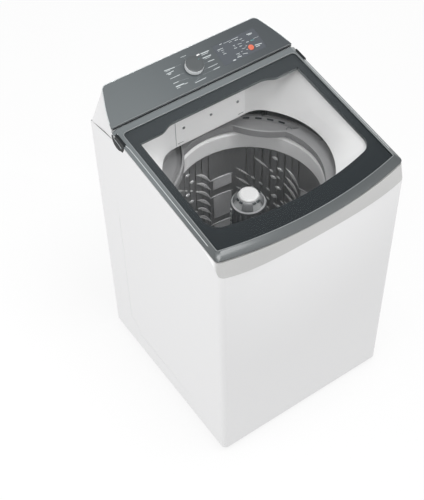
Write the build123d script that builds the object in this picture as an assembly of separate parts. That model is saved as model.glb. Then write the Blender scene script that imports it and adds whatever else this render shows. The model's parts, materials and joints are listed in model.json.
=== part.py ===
from build123d import *
import os
from math import acos, atan2, cos, degrees, hypot, radians, sin, sqrt

# A top load washing machine, in millimetres. X runs to the right as a user
# faces it, Y runs to the back and Z up, and the floor is at Z = 0.

# ---- driving dimensions -------------------------------------------------

# cabinet
cabinet_width = 660.0
cabinet_depth = 676.0
floor_gap = 18.0            # floor to the cabinet's bottom edge
corner_radius = 18.0        # upright front corners
sheet = 0.8
return_flange = 16.0        # the side sheets turn in at the back
front_edge_middle = 878.0   # top edge of the front panel, a shallow smile
front_edge_rise = 40.0      # how much higher it is near the corners
smile_side_gap = 10.0       # from there to the cabinet's side
front_turn = 13.0           # from the front to where the front and side edges meet
side_arc_start = 113.0      # from the front to where the side edge's arc ends
rear_corner_height = 1005.0
rear_edge_drop = 8.0        # how far the side edge has fallen at the very back

# lid plane: the lid's top face falls towards the front
lid_slope = 8.157
lid_height = 1031.9         # its height above the drum axis line y = 0
side_edge_drop = 22.0       # cabinet's side edge under the lid plane
deck_drop = 18.5            # top cover's deck under the lid plane
plastic = 3.0               # wall of the moulded covers
cover_bottom = 840.0        # lower edge of the top cover's walls
cover_top = 1075.0          # height where the cover's walls are trimmed
cover_corner_proud = 12.6   # how far its front corners stand out at the front edge's middle height
cover_corner_lean = 0.3155  # and how they lean back with height
cover_middle_lean = -0.1959 # the middle of its front leans out instead
opening_side_gap = 36.0     # from the cabinet's side to the opening over the basket
opening_corner_gap = 76.0   # from the cabinet's front to its front corners
opening_middle_gap = 55.0
opening_back_radius = 45.0
opening_front_radius = 55.0

# drum axis and the vertical stack around it
axis_y = -14.0
throat_radius = 260.0
throat_height = 893.0
throat_back = 200.0         # the throat's flat back, from the drum axis
throat_flat_half = 146.0    # half the width of that flat
inlet_plate_half = 128.0    # half the width of the water inlet plate
inlet_slot_x = 113.0
inlet_slot_half = 11.0
inlet_slot_low = 904.0
inlet_slot_high = 908.0
inlet_screw_height = 962.0
ring_top = 852.0
ring_bottom = 827.0
ring_inner = 233.0
ring_outer = 284.0
lobe_inner = 205.0          # the two pockets reach this far in
lobe_half_angle = 21.0
lobe_angles = (45.0, 135.0)
pocket_depth = 17.0
pocket_outer = 272.0
pocket_rim = 7.0
slot_angles = (55.8, 47.4, 39.3, 31.2)
tub_outer = 271.0
tub_wall = 3.0
tub_floor = 241.0
tub_floor_thickness = 5.0
basket_outer = 253.2
basket_sheet = 1.2
basket_floor = 294.0
basket_top = 800.0
basket_base_thickness = 2.0
balance_inner = 235.0
balance_bottom = 751.0
balance_top = 815.0

# agitator
column_foot_radius = 62.0
column_top_radius = 54.0
column_top = 744.0
agitator_wall = 4.0
agitator_skirt_radius = 172.0
agitator_bottom = 300.0
vane_count = 4
vane_reach = 150.0
vane_thickness = 8.0
vane_top = 520.0
collar_foot_radius = 48.5
collar_top_radius = 34.0
collar_top = 772.0
cap_radius = 32.5
cap_plug_radius = 24.5
cap_top = 783.0

# shafts and bearings
wash_shaft_radius = 10.0
wash_shaft_top = 352.0
spin_tube_radius = 15.0
bearing_radius = 26.0
bearing_width = 14.0
boss_radius = 36.0
boss_bottom = 150.0
running = 0.05              # radial clearance of a running fit
clear = 0.3                 # clearance between parts of different bodies

# drive
motor_x = 160.0
motor_radius = 62.0
motor_bottom = 96.0
bracket_bottom = 186.0
bracket_thickness = 4.0
pulley_bottom = 70.0
pulley_width = 18.0
big_groove_radius = 68.0
small_groove_radius = 16.0
groove_depth = 7.0
belt_width = 10.0
belt_thickness = 6.0
motor_shaft_radius = 6.0
gearcase_radius = 58.0
gearcase_bottom = 100.0

# drain pump
pump_x = -150.0
pump_y = 60.0
pump_radius = 40.0
pump_bottom = 190.0
pump_top = 232.0

# suspension
rod_side_gap = 68.0         # from a rod to the cabinet's side
rod_front_gap = 62.0        # from a front rod to the cabinet's front
rod_rear_gap = 90.0         # from a rear rod to the cabinet's back
rod_radius = 4.0
rod_cup_height = 392.0
rod_cup_radius = 20.0
rod_nut_radius = 9.0
spring_wire = 2.2           # radius of the spring's wire
spring_coil = 14.0
spring_turns = 5
sleeve_bottom = 470.0
sleeve_radius = 21.0
sleeve_neck = 7.9
lug_bottom = 500.0
lug_thickness = 12.0
lug_half_width = 18.0
gusset_height = 865.0
gusset_thickness = 3.0
gusset_past_rod = 21.0      # how far a gusset reaches past its rod, along X and along Y

# lid
lid_overhang = 1.0          # how far the lid's rim stands out past the cabinet's side
lid_thickness = 16.0
lid_rim_drop = 11.0         # the bevelled rim's lower edge, below the top
lid_bevel = 16.5            # width of the bevel along the sides
lid_gap = 4.0               # from the lid's back edge to the console
lid_corner_front = 15.0     # the rim's front corners, short of the cabinet's front
lid_middle_front = 24.2     # the rim's middle, past the cabinet's front
bevel_corner = 22.0         # width of the bevel at the front corners
bevel_middle = 26.7         # and at the front's middle
pivot_inset = 8.0           # from the lid's back edge to the hinge axis
pivot_drop = 8.5
lid_heel_radius = 8.0       # the lid's back edge is round about the pivot
glass_side_inset = 18.5     # from the lid's rim to the glass
glass_back_inset = 27.2
glass_corner_inset = 24.0
glass_middle_inset = 28.8
glass_thickness = 4.0
border_thickness = 1.2
window_side_inset = 27.5    # from the glass's edge to its clear window
window_front_inset = 63.4
window_back_inset = 36.8
window_bow = 40.0           # how far the window's front bows out
window_step = 17.0          # its back edge steps forward beside the hinges
window_radius = 48.0
lid_front_radius = 16.0
lid_back_radius = 6.0
glass_front_radius = 5.0
glass_back_radius = 15.0
hinge_pin_radius = 2.5
hinge_pin_half = 12.0
hinge_tab_inset = 27.0      # from the cabinet's side to the middle of a hinge tab
hinge_tab_width = 8.0
hinge_tab_half_depth = 4.0
cover_strip = 66.0          # length of a hinge cover's strip along the lid
cover_strip_drop = 4.3      # its top edge, under the lid plane
cover_leaf_width = 8.6
bumper_radius = 5.0

# lid lock, at the right under the deck
strike_inset = 19.75        # from the cabinet's side to the middle of the strike
lock_y = -150.0
lock_drop = 33.0            # the bolt's axis, under the lid plane
bolt_radius = 3.5
bolt_length = 9.0
strike_thickness = 2.5
strike_half_width = 8.0
lock_slot_half = 18.0

# console
console_depth = 127.0
console_overhang = 2.0      # how far it stands out past the cabinet's back
console_height = 1060.0     # height of its front edge
console_slope = 20.3
console_side_gap = 2.0      # from its front corners to the cabinet's sides
console_side_mid = (20.5, 57.0)     # its curved side: in from the cabinet's side, back from its front
console_side_end = (44.0, 108.0)
console_corner_mid = (50.0, 120.5)
console_corner_end = 66.0
panel_thickness = 4.0
housing_bottom = 1003.0
dial_x = 3.0
dial_back = 66.0            # along the console's slope
dial_radius = 29.0
dial_height = 20.0
display_x = 172.0
display_back = 65.0
display_size = (158.0, 77.0)
button_x = 204.0
button_back = 46.0
button_radius = 9.5
button_travel = 1.5
button_stroke_gap = 0.3     # left between the pressed button and its switch
board_drop = 20.0           # circuit board below the console's face
board_thickness = 1.6

# feet
foot_inset = 40.0           # from the cabinet's sides, front and back
foot_radius = 29.0
foot_block_half = 34.0
stud_radius = 5.0
base_height = 40.0

# services at the back
port_radius = 13.2
port_collar = 3.0           # collar behind each hose connection
port_root_gap = 3.0         # from the cabinet's back to where the inlet's thread starts
back_overhang = 19.0        # how far both hose connections stand out at the back
port_bore = 8.5
pipe_outer = 7.0
pipe_inner = 5.0
valve_depth = 32.8
valve_x = -210.0
valve_height = 1030.0
drain_x = 250.0
drain_height = 930.0
drain_radius = 12.0
drain_barb = 1.0            # how much thicker the spigot is inside the cabinet
gland_x = -270.0
gland_height = 110.0
gland_radius = 9.0

half_width = cabinet_width / 2
half_depth = cabinet_depth / 2
front_turn_y = -half_depth + front_turn
side_arc_y = -half_depth + side_arc_start
console_back = half_depth + console_overhang
console_front = console_back - console_depth
console_half_width = half_width - console_side_gap
throat_back_y = axis_y + throat_back
lid_half_width = half_width + lid_overhang
lid_back = console_front - lid_gap
pivot_back = lid_back - pivot_inset
side_line_end_y = lid_back - cover_strip - 3
glass_half_width = lid_half_width - glass_side_inset
hinge_tab_x = half_width - hinge_tab_inset
back_reach = half_depth + back_overhang
port_root = half_depth + port_root_gap
valve_back = half_depth - plastic - 0.2
valve_front = valve_back - valve_depth
rod_x_place = half_width - rod_side_gap
rod_front_y = -half_depth + rod_front_gap
rod_rear_y = half_depth - rod_rear_gap
inlet_screw_places = (-100.0, 0.0, 100.0)
strike_x = half_width - strike_inset
board_post_places = (-60.0, 110.0, 250.0)
foot_x = half_width - foot_inset
foot_y = half_depth - foot_inset
slope_cos = cos(radians(lid_slope))
slope_sin = sin(radians(lid_slope))

lid_axes = Plane(origin=(0, 0, lid_height), x_dir=(1, 0, 0), z_dir=(0, -slope_sin, slope_cos)).location
console_axes = Plane(
    origin=(0, console_front, console_height), x_dir=(1, 0, 0),
    z_dir=(0, -sin(radians(console_slope)), cos(radians(console_slope))),
).location


# ---- helpers ------------------------------------------------------------

def block(x0, x1, y0, y1, z0, z1):
    return Pos((x0 + x1) / 2, (y0 + y1) / 2, (z0 + z1) / 2) * Box(abs(x1 - x0), abs(y1 - y0), abs(z1 - z0))


def post(x, y, z0, z1, radius):
    return Pos(x, y, (z0 + z1) / 2) * Cylinder(radius, z1 - z0)


def tube(x, y, z0, z1, outer, inner):
    return post(x, y, z0, z1, outer) - post(x, y, z0 - 1, z1 + 1, inner)


def lathe(points, x=0.0, y=0.0):
    """A solid turned about an upright axis from a list of (radius, height)."""
    profile = make_face(Polyline([(r, 0, z) for r, z in points], close=True))
    return Pos(x, y, 0) * revolve(profile, Axis.Z)


def rod_x(y, z, x0, x1, radius):
    return Pos((x0 + x1) / 2, y, z) * Rot(0, 90, 0) * Cylinder(radius, abs(x1 - x0))


def rod_y(x, z, y0, y1, radius):
    return Pos(x, (y0 + y1) / 2, z) * Rot(90, 0, 0) * Cylinder(radius, abs(y1 - y0))


def both_sides(solid):
    return solid + mirror(solid, about=Plane.YZ)


def on_axis(radius, angle):
    """A point at a radius and angle about the drum axis."""
    return (radius * cos(radians(angle)), axis_y + radius * sin(radians(angle)))


def below_lid(y, drop):
    """Height of the point that lies a drop under the lid plane at y."""
    return lid_height + (y * slope_sin - drop) / slope_cos


def smile_height(x):
    """Height of the front panel's top edge, an arc."""
    half = half_width - smile_side_gap
    radius = (half**2 + front_edge_rise**2) / (2 * front_edge_rise)
    return front_edge_middle + radius - sqrt(radius**2 - x**2)


def bowed_outline(half, back, corner, middle, radius, back_radius=0.0):
    """An outline with straight sides and back, and a front edge that bows from corner to middle."""
    sides = Polyline((half, corner), (half, back), (-half, back), (-half, corner))
    front = ThreePointArc((-half, corner), (0, middle), (half, corner))
    face = make_face(sides + front)
    corners = face.vertices().sort_by(Axis.Y)
    face = fillet(corners[:2], radius)
    if back_radius:
        face = fillet(face.vertices().sort_by(Axis.Y)[-2:], back_radius)
    return face


# ---- cabinet ------------------------------------------------------------

def above_cabinet_edge():
    """Everything above the cabinet's top edge: a smile at the front, a slope along the sides."""
    corner = smile_height(half_width)
    reach = half_width + 40
    top = 1200.0
    front = make_face(
        ThreePointArc((-reach, smile_height(reach)), (0, front_edge_middle), (reach, smile_height(reach)))
        + Polyline((reach, smile_height(reach)), (reach, top), (-reach, top), (-reach, smile_height(reach)))
    )
    front_cut = Pos(0, front_turn_y, 0) * extrude(Rot(90, 0, 0) * front, 90)
    arc_start = (side_arc_y, below_lid(side_arc_y, side_edge_drop))
    arc = TangentArc(arc_start, (front_turn_y, corner), tangent=(-slope_cos, -slope_sin))
    line_end = (side_line_end_y, below_lid(side_line_end_y, side_edge_drop))
    behind = half_depth + 40
    back = (behind, rear_corner_height - rear_edge_drop)
    rest = Polyline(arc_start, line_end, back, (behind, top), (front_turn_y, top), (front_turn_y, corner))
    side = make_face(arc + rest)
    side_cut = Pos(-reach, 0, 0) * extrude(Plane.YZ * side, 2 * reach)
    return front_cut + side_cut


def plan(inset):
    half = half_width - inset
    face = make_face(Polyline(
        (-half, -half_depth + inset), (half, -half_depth + inset),
        (half, half_depth - inset), (-half, half_depth - inset), close=True))
    return fillet(face.vertices().sort_by(Axis.Y)[:2], corner_radius - inset)


def hinge_cover_profile(gap):
    """The leaf on each side, in the lid's own Y and Z, grown by a gap."""
    strip_front, strip_back = lid_back - cover_strip, pivot_back - lid_heel_radius - 2
    lobe_start = (lid_back - 59.0, -42.0)
    lobe_low = (lid_back - 49.0, -46.0)
    lobe_side = (lid_back - 15.0, -51.5)
    lobe_back = (lid_back, -19.0)
    edge = Polyline(
        lobe_back, (strip_back, -19.0), (strip_back, -cover_strip_drop), (strip_front, -cover_strip_drop),
        (strip_front, -24.0), lobe_start, lobe_low)
    face = make_face(edge + ThreePointArc(lobe_low, lobe_side, lobe_back))
    return offset(face, gap) if gap else face


def hinge_leaf(side, inner_x, outer_x, gap=0.0):
    start = min(side * inner_x, side * outer_x)
    leaf = extrude(Plane.YZ * hinge_cover_profile(gap), outer_x - inner_x)
    return lid_axes * (Pos(start, 0, 0) * leaf)


def hinge_covers():
    outer_x = half_width + 0.6
    inner_x = outer_x - cover_leaf_width
    return hinge_leaf(-1, inner_x, outer_x) + hinge_leaf(1, inner_x, outer_x)


def cabinet_wrap(edge):
    top = rear_corner_height + 40
    height = top - floor_gap
    shell = extrude(plan(0), height) - extrude(plan(sheet), height)
    shell = Pos(0, 0, floor_gap) * shell
    inside = half_width - return_flange
    shell -= block(-inside, inside, half_depth - sheet - 1, half_depth + 1, 0, top + 1)
    shell -= edge
    for side in (-1, 1):
        shell -= hinge_leaf(side, half_width - 12, half_width + 5, 0.4)
    return shell


def rear_screw_places():
    x = half_width - return_flange - 14
    return [(side * x, z) for z in (60.0, 350.0, 640.0, 930.0) for side in (-1, 1)]


def rear_panel():
    inner_face = half_depth - sheet
    half = half_width - sheet - 1.5
    panel = block(-half, half, inner_face - sheet, inner_face, floor_gap + 2, housing_bottom - 1)
    panel -= rod_y(drain_x, drain_height, inner_face - 5, inner_face + 5, drain_radius + port_collar + 0.5)
    panel -= rod_y(gland_x, gland_height, inner_face - 5, inner_face + 5, gland_radius)
    for x, z in rear_screw_places():
        panel -= rod_y(x, z, inner_face - 5, inner_face + 5, 2)
    for row in range(6):
        z = 240.0 + row * 26.0
        panel -= block(-90, 90, inner_face - 5, inner_face + 5, z, z + 6)
    return panel


def panel_screws():
    """Screws of the rear panel, and of the inlet plate inside."""
    screws = Part()
    face = half_depth - sheet
    for x, z in rear_screw_places():
        screws += rod_y(x, z, face, face + 3, 5) + rod_y(x, z, face - 8, face, 2)
    for x in inlet_screw_places:
        screws += rod_y(x, inlet_screw_height, throat_back_y - 4.5, throat_back_y - 2.5, 4.5)
        screws += rod_y(x, inlet_screw_height, throat_back_y - 2.5, throat_back_y, 2)
    return screws


def base_frame():
    half = half_width - sheet
    front = -half_depth + sheet
    back = half_depth - 2 * sheet
    low = floor_gap
    frame = block(-half, half, front, back, low, low + base_height)
    frame -= block(-half + plastic, half - plastic, front + plastic, back - plastic, low + 3, low + base_height + 1)
    frame -= block(-half + 40, half - 40, front + 40, back - 40, low - 1, low + 10)
    corner_cut = corner_radius + 2
    for side in (-1, 1):
        for end in (-1, 1):
            x, y, around = side * foot_x, end * foot_y, foot_block_half
            frame += block(x - around, x + around, y - around, y + around, low, low + base_height)
            frame -= post(x, y, low - 1, low + base_height + 1, stud_radius + running)
        outside = block(side * (half - corner_cut), side * (half + 5), front - 5, front + corner_cut, 0, 80)
        frame -= outside - post(side * (half - corner_cut), front + corner_cut, 0, 80, corner_cut)
    return frame


def foot(side, end):
    """A levelling foot: a round pad on a threaded stud."""
    pad = lathe([
        (0, 0), (foot_radius - 3, 0), (foot_radius, 3), (foot_radius, 9), (foot_radius - 6, 15),
        (14, floor_gap - clear), (0, floor_gap - clear)])
    stud = post(0, 0, floor_gap - 1, floor_gap + base_height + 12, stud_radius)
    return Pos(side * foot_x, end * foot_y, 0) * (pad + stud)


def corner_brackets():
    """Gusset plates across the cabinet's corners, which the suspension rods hang from."""
    half = half_width - sheet
    front = -half_depth + sheet
    back = half_depth - 2 * sheet
    low, high = gusset_height, gusset_height + gusset_thickness
    front_reach = (rod_side_gap - sheet) + (rod_front_gap - sheet) + gusset_past_rod
    rear_reach = (rod_side_gap - sheet) + (rod_rear_gap - 2 * sheet) + gusset_past_rod - 2.5
    cut = corner_radius + 1
    plates = Part()
    for side in (-1, 1):
        front_plate = make_face(Polyline(
            (side * half, front + front_reach), (side * half, front + cut), (side * (half - cut), front),
            (side * (half - front_reach), front), close=True))
        rear_plate = make_face(Polyline(
            (side * half, back - rear_reach), (side * half, back), (side * (half - rear_reach), back), close=True))
        for face, y in ((front_plate, rod_front_y), (rear_plate, rod_rear_y)):
            plate = Pos(0, 0, low) * extrude(face, gusset_thickness)
            plates += plate - post(side * rod_x_place, y, low - 1, high + 1, rod_radius + 0.5)
    return plates


def rod_places():
    return [(side * rod_x_place, y) for side in (-1, 1) for y in (rod_front_y, rod_rear_y)]


def suspension_rods():
    rods = Part()
    top = gusset_height + gusset_thickness
    for x, y in rod_places():
        rods += post(x, y, rod_cup_height - 6, top + 6, rod_radius)
        rods += post(x, y, top, top + 12, rod_nut_radius)
        rods += post(x, y, rod_cup_height - 6, rod_cup_height, rod_cup_radius)
    return rods


def suspension_springs():
    height = sleeve_bottom - rod_cup_height - 2 * spring_wire - 0.2
    path = Helix(pitch=height / spring_turns, height=height, radius=spring_coil)
    section = Plane(origin=path @ 0, z_dir=path % 0) * Circle(spring_wire)
    one = sweep(section, path=path, is_frenet=True)
    springs = Part()
    for x, y in rod_places():
        springs += Pos(x, y, rod_cup_height + spring_wire + 0.1) * one
    return springs


def motor_capacitor():
    x, y = -half_width + sheet + 23, 150.0
    can = post(x, y, floor_gap + 3, 130, 18)
    return can + post(x - 6, y, 130, 138, 2.5) + post(x + 6, y, 130, 138, 2.5)


# ---- top cover, liner and what it carries -------------------------------

def cover_face(z, inset):
    """A level section through the top cover's walls."""
    rise = z - front_edge_middle
    corner = -half_depth - cover_corner_proud + rise * cover_corner_lean + inset
    middle = -half_depth + rise * cover_middle_lean + inset
    face = bowed_outline(half_width - inset, console_front - 1 - inset, corner, middle, corner_radius - inset)
    return Pos(0, 0, z) * face


def cover_block(inset):
    return loft([cover_face(cover_bottom, inset), cover_face(cover_top, inset)], ruled=True)


def under_lid(top_drop, bottom_drop):
    """A slab between two drops under the lid plane."""
    return lid_axes * block(-500, 500, -500, 500, -bottom_drop, -top_drop)


def opening_outline(grow):
    """The top cover's opening, in the lid's own axes."""
    half = half_width - opening_side_gap + grow
    front = -half_depth + opening_corner_gap - grow
    middle = -half_depth + opening_middle_gap - grow
    back = (throat_back_y - deck_drop * slope_sin) / slope_cos + grow
    back_corner, front_corner = opening_back_radius + grow, opening_front_radius + grow
    k = sqrt(0.5)
    back_mid = (half - back_corner + k * back_corner, back - back_corner + k * back_corner)
    front_mid = (half - front_corner + k * front_corner, front + front_corner - k * front_corner)
    right_back, right_front = (half, back - back_corner), (half, front + front_corner)
    back_right, front_right = (half - back_corner, back), (half - front_corner, front)
    flip = lambda point: (-point[0], point[1])
    return make_face(
        Line(flip(back_right), back_right) + ThreePointArc(back_right, back_mid, right_back)
        + Line(right_back, right_front) + ThreePointArc(right_front, front_mid, front_right)
        + ThreePointArc(front_right, (0, middle), flip(front_right))
        + ThreePointArc(flip(front_right), flip(front_mid), flip(right_front))
        + Line(flip(right_front), flip(right_back))
        + ThreePointArc(flip(right_back), flip(back_mid), flip(back_right)))


def throat_outline(grow):
    """The liner's lower edge: a circle about the drum axis with a flat back."""
    radius, back = throat_radius + grow, throat_back_y + grow
    back_right = (throat_flat_half, back)
    right_back, right_front = on_axis(radius, 40), on_axis(radius, -40)
    front_right = on_axis(radius, -60)
    back_mid = (throat_flat_half + 32 + grow * 0.6, throat_back_y - 12.5 + grow * 0.8)
    flip = lambda point: (-point[0], point[1])
    return make_face(
        Line(flip(back_right), back_right) + ThreePointArc(back_right, back_mid, right_back)
        + ThreePointArc(right_back, on_axis(radius, 0), right_front)
        + ThreePointArc(right_front, on_axis(radius, -50), front_right)
        + ThreePointArc(front_right, on_axis(radius, -90), flip(front_right))
        + ThreePointArc(flip(front_right), on_axis(radius, -130), flip(right_front))
        + ThreePointArc(flip(right_front), on_axis(radius, 180), flip(right_back))
        + ThreePointArc(flip(right_back), flip(back_mid), flip(back_right)))


def liner_block(grow, top_drop, bottom):
    top = lid_axes * (Pos(0, 0, -top_drop) * opening_outline(grow))
    return loft([top, Pos(0, 0, bottom) * throat_outline(grow)], ruled=True)


def panel_slot(side, y0, y1):
    """The slot that the water falls from, on each side of the inlet plate."""
    x = side * inlet_slot_x
    return block(x - inlet_slot_half, x + inlet_slot_half, y0, y1, inlet_slot_low, inlet_slot_high)


def top_cover(edge):
    walls = (cover_block(0) - cover_block(plastic)) & edge
    walls -= under_lid(-200, deck_drop)
    deck = cover_block(plastic / 2) & under_lid(deck_drop, deck_drop + plastic)
    right_half = (walls + deck) & block(0, half_width + 10, -500, 500, 0, 1200)
    right_half -= hinge_leaf(1, half_width + 0.6 - cover_leaf_width - clear, half_width + 5, clear)
    liner = liner_block(plastic, deck_drop, throat_height)
    cover = both_sides(right_half) + liner
    cover -= liner_block(0, deck_drop, throat_height)
    cover -= lid_axes * lock_slot(-deck_drop - 5)
    for side in (-1, 1):
        cover -= panel_slot(side, throat_back_y - 2, throat_back_y + 5)
    return cover - rod_y(valve_x, valve_height, console_front - 8, console_front + 3, pipe_outer + 1)


def inner_rear_panel():
    """The flat water inlet plate on the liner's back wall."""
    face = throat_back_y
    top = below_lid(face, deck_drop + 8)
    plate = block(-inlet_plate_half, inlet_plate_half, face - 2.5, face, throat_height + 7, top)
    for side in (-1, 1):
        plate -= panel_slot(side, face - 4, face + 1)
    for x in inlet_screw_places:
        plate -= rod_y(x, inlet_screw_height, face - 5, face + 1, 2.1)
    return plate


def water_duct():
    """Channel behind the liner that brings the water to the two slots."""
    y0, y1 = throat_back_y + plastic + 1.2, console_front - plastic - 1.2
    top = below_lid(y0, deck_drop + plastic + 2)
    left, right, low, wall = valve_x - 16, inlet_plate_half + 4, inlet_slot_low - 4, 2.0
    duct = block(left, right, y0, y1, low, top)
    duct -= block(left + wall, right - wall, y0 + wall, y1 - wall, low + wall, top - wall)
    for side in (-1, 1):
        duct -= panel_slot(side, y0 - 1, y0 + wall + 1)
    duct -= rod_y(valve_x, valve_height, y1 - wall - 1, y1 + 1, pipe_inner)
    for x in (-60, 60):
        duct += rod_y(x, low + 30, throat_back_y + plastic, y0 + 1, 5)
    return duct


def inlet_pipe():
    y0, y1 = console_front - plastic - 1.2, valve_front
    pipe = rod_y(valve_x, valve_height, y0, y1, pipe_outer)
    return pipe - rod_y(valve_x, valve_height, y0 - 1, y1 + 1, pipe_inner)


def inlet_valve():
    """Solenoid valve with a threaded hose port at the back."""
    half = 18.0
    body = block(valve_x - half, valve_x + half, valve_front, valve_back, valve_height - half, valve_height + 14)
    coil = post(valve_x, valve_front + 14, valve_height + 14, valve_height + 36, 11)
    port = rod_y(valve_x, valve_height, port_root, back_reach, port_radius)
    port += rod_y(valve_x, valve_height, valve_back, port_root, port_radius + port_collar)
    port -= rod_y(valve_x, valve_height, port_root - 1, back_reach + 1, port_bore)
    return body + coil + port - rod_y(valve_x, valve_height, valve_front - 1, valve_front + 16, pipe_inner)


def lid_bumpers():
    pads = Part()
    for y in (-200.0, 60.0):
        pads += post(half_width - 12, y, -deck_drop, -lid_thickness - running, bumper_radius)
    return both_sides(lid_axes * pads)


def hinge_brackets():
    """Tabs on the deck that carry the hinge pins."""
    inner, outer = hinge_tab_x - hinge_tab_width / 2, hinge_tab_x + hinge_tab_width / 2
    half = hinge_tab_half_depth
    tab = block(inner, outer, pivot_back - half, pivot_back + half, -deck_drop, -pivot_drop)
    tab += rod_x(pivot_back, -pivot_drop, inner, outer, half)
    hole = rod_x(pivot_back, -pivot_drop, inner - 5, outer + 5, hinge_pin_radius)
    return both_sides(lid_axes * (tab - hole))


def hinge_pins():
    inner, outer = hinge_tab_x - hinge_pin_half, hinge_tab_x + hinge_pin_half
    return both_sides(lid_axes * rod_x(pivot_back, -pivot_drop, inner, outer, hinge_pin_radius))


def lock_slot(bottom):
    """The slot that the lid's strike drops into."""
    half = lock_slot_half
    return block(strike_x - 4.25, strike_x + 4.25, lock_y - half, lock_y + half, bottom, 0)


def lid_lock_housing():
    low = -lock_drop - 19
    housing = block(strike_x - 12.25, strike_x + 15.75, lock_y - 26, lock_y + 26, low, -deck_drop - plastic)
    housing -= lock_slot(low + 4)
    hole = rod_x(lock_y, -lock_drop, strike_x - 13.25, strike_x - 3.25, bolt_radius + running)
    return lid_axes * (housing - hole)


def lock_bolt():
    tip = strike_x - strike_thickness / 2 - 1.5
    return lid_axes * rod_x(lock_y, -lock_drop, tip - bolt_length, tip, bolt_radius)


# ---- lid ----------------------------------------------------------------

def rim_outline(inset):
    """The lid's widest outline, in its own axes, as are the three that follow."""
    corner, middle = -half_depth + lid_corner_front, -half_depth - lid_middle_front
    radius = lid_front_radius - inset
    return bowed_outline(lid_half_width - inset, lid_back, corner + inset, middle + inset, radius, lid_back_radius)


def top_outline():
    corner = -half_depth + lid_corner_front + bevel_corner
    middle = -half_depth - lid_middle_front + bevel_middle
    radius = lid_front_radius - 1
    return bowed_outline(lid_half_width - lid_bevel, lid_back - 3, corner, middle, radius, lid_back_radius)


def glass_outline(inset):
    half, back = glass_half_width - inset, lid_back - glass_back_inset - inset
    corner = -half_depth + lid_corner_front + glass_corner_inset + inset
    middle = -half_depth - lid_middle_front + glass_middle_inset + inset
    return bowed_outline(half, back, corner, middle, glass_front_radius, glass_back_radius)


def window_outline():
    """The clear part of the glass: the back edge steps forward beside the hinges."""
    half = glass_half_width - window_side_inset
    back = lid_back - glass_back_inset - window_back_inset
    low = back - window_step
    middle = -half_depth - lid_middle_front + glass_middle_inset + window_front_inset
    corner = middle + window_bow
    wide, narrow = half - 60, half - 135
    steps = ((narrow, back), (wide - 47, back - 4), (wide - 23, low + 2), (wide, low))
    level = ((1, 0), (1, 0))
    right = Spline(*steps, tangents=level)
    left = Spline(*[(-x, y) for x, y in reversed(steps)], tangents=level)
    front = ThreePointArc((-half, corner), (0, middle), (half, corner))
    face = make_face(
        Line((-narrow, back), (narrow, back)) + right + Line((wide, low), (half, low))
        + Line((half, low), (half, corner)) + front
        + Line((-half, corner), (-half, low)) + Line((-half, low), (-wide, low)) + left)
    return fillet(face.vertices().sort_by(Axis.Y)[:2], window_radius)


def lid_frame():
    rim = Pos(0, 0, -lid_rim_drop) * rim_outline(0)
    body = loft([rim, top_outline()], ruled=True)
    body += Pos(0, 0, -lid_thickness) * extrude(rim_outline(1.5), lid_thickness - lid_rim_drop)
    reach = lid_half_width + 50
    heel = rod_x(pivot_back, -pivot_drop, -reach, reach, lid_heel_radius)
    body &= block(-reach, reach, -cabinet_depth, pivot_back, -30, 5) + heel
    pocket = glass_thickness + border_thickness
    body -= Pos(0, 0, -pocket) * extrude(glass_outline(0), pocket + 1)
    body -= Pos(0, 0, -30) * extrude(window_outline(), 40)
    slot_half = hinge_tab_width / 2 + 3
    leaf_inner = half_width + 0.6 - cover_leaf_width - 0.5
    for side in (-1, 1):
        x = side * hinge_tab_x
        body -= block(x - slot_half, x + slot_half, pivot_back - 11, lid_back + 20, -30, -3)
        body -= rod_x(pivot_back, -pivot_drop, x - 15, x + 15, hinge_pin_radius + running)
        x0, x1 = sorted((side * leaf_inner, side * reach))
        body -= block(x0, x1, lid_back - cover_strip - 0.5, pivot_back, -30, -4) - heel
    return lid_axes * body


def lid_glass():
    return lid_axes * (Pos(0, 0, -glass_thickness) * extrude(glass_outline(0.2), glass_thickness))


def lid_border():
    """The dark band under the glass, round the clear window."""
    low = -glass_thickness - border_thickness
    band = Pos(0, 0, low) * extrude(glass_outline(0.6), border_thickness)
    return lid_axes * (band - Pos(0, 0, low - 1) * extrude(window_outline(), 5))


def lid_strike():
    front, back, half = lock_y - strike_half_width, lock_y + strike_half_width, strike_thickness / 2
    blade = block(strike_x - half, strike_x + half, front, back, -lock_drop - 8, -lid_thickness - 2)
    blade -= rod_x(lock_y, -lock_drop, strike_x - 5, strike_x + 5, bolt_radius + 1)
    foot_plate = block(strike_x - 7.25, strike_x + 7.75, front, back, -lid_thickness - 2, -lid_thickness)
    return lid_axes * (blade + foot_plate)


# ---- console ------------------------------------------------------------

def console_outline(inset):
    """The console's face, in its own axes: sides curve in towards the back."""
    run = 1 / cos(radians(console_slope))
    back = console_depth * run - inset
    side_start = (console_half_width - inset, inset)
    side_mid, side_end, corner_mid = [
        (half_width - x - inset, y * run)
        for x, y in (console_side_mid, console_side_end, console_corner_mid)]
    corner_end = (half_width - console_corner_end, back)
    flip = lambda point: (-point[0], point[1])
    return make_face(
        Line(flip(side_start), side_start) + ThreePointArc(side_start, side_mid, side_end)
        + ThreePointArc(side_end, corner_mid, corner_end) + Line(corner_end, flip(corner_end))
        + ThreePointArc(flip(corner_end), flip(corner_mid), flip(side_end))
        + ThreePointArc(flip(side_end), flip(side_mid), flip(side_start)))


def housing_base(inset):
    front, back, half, round_off = console_front + inset, half_depth - inset, half_width - 0.5 - inset, 10.0
    k = round_off * (1 - sqrt(0.5))
    corner = ((half, back - round_off), (half - k, back - k), (half - round_off, back))
    flip = lambda point: (-point[0], point[1])
    return Pos(0, 0, housing_bottom) * make_face(
        Line((-half, front), (half, front)) + Line((half, front), corner[0])
        + ThreePointArc(*corner) + Line(corner[2], flip(corner[2]))
        + ThreePointArc(flip(corner[2]), flip(corner[1]), flip(corner[0]))
        + Line(flip(corner[0]), (-half, front)))


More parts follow.
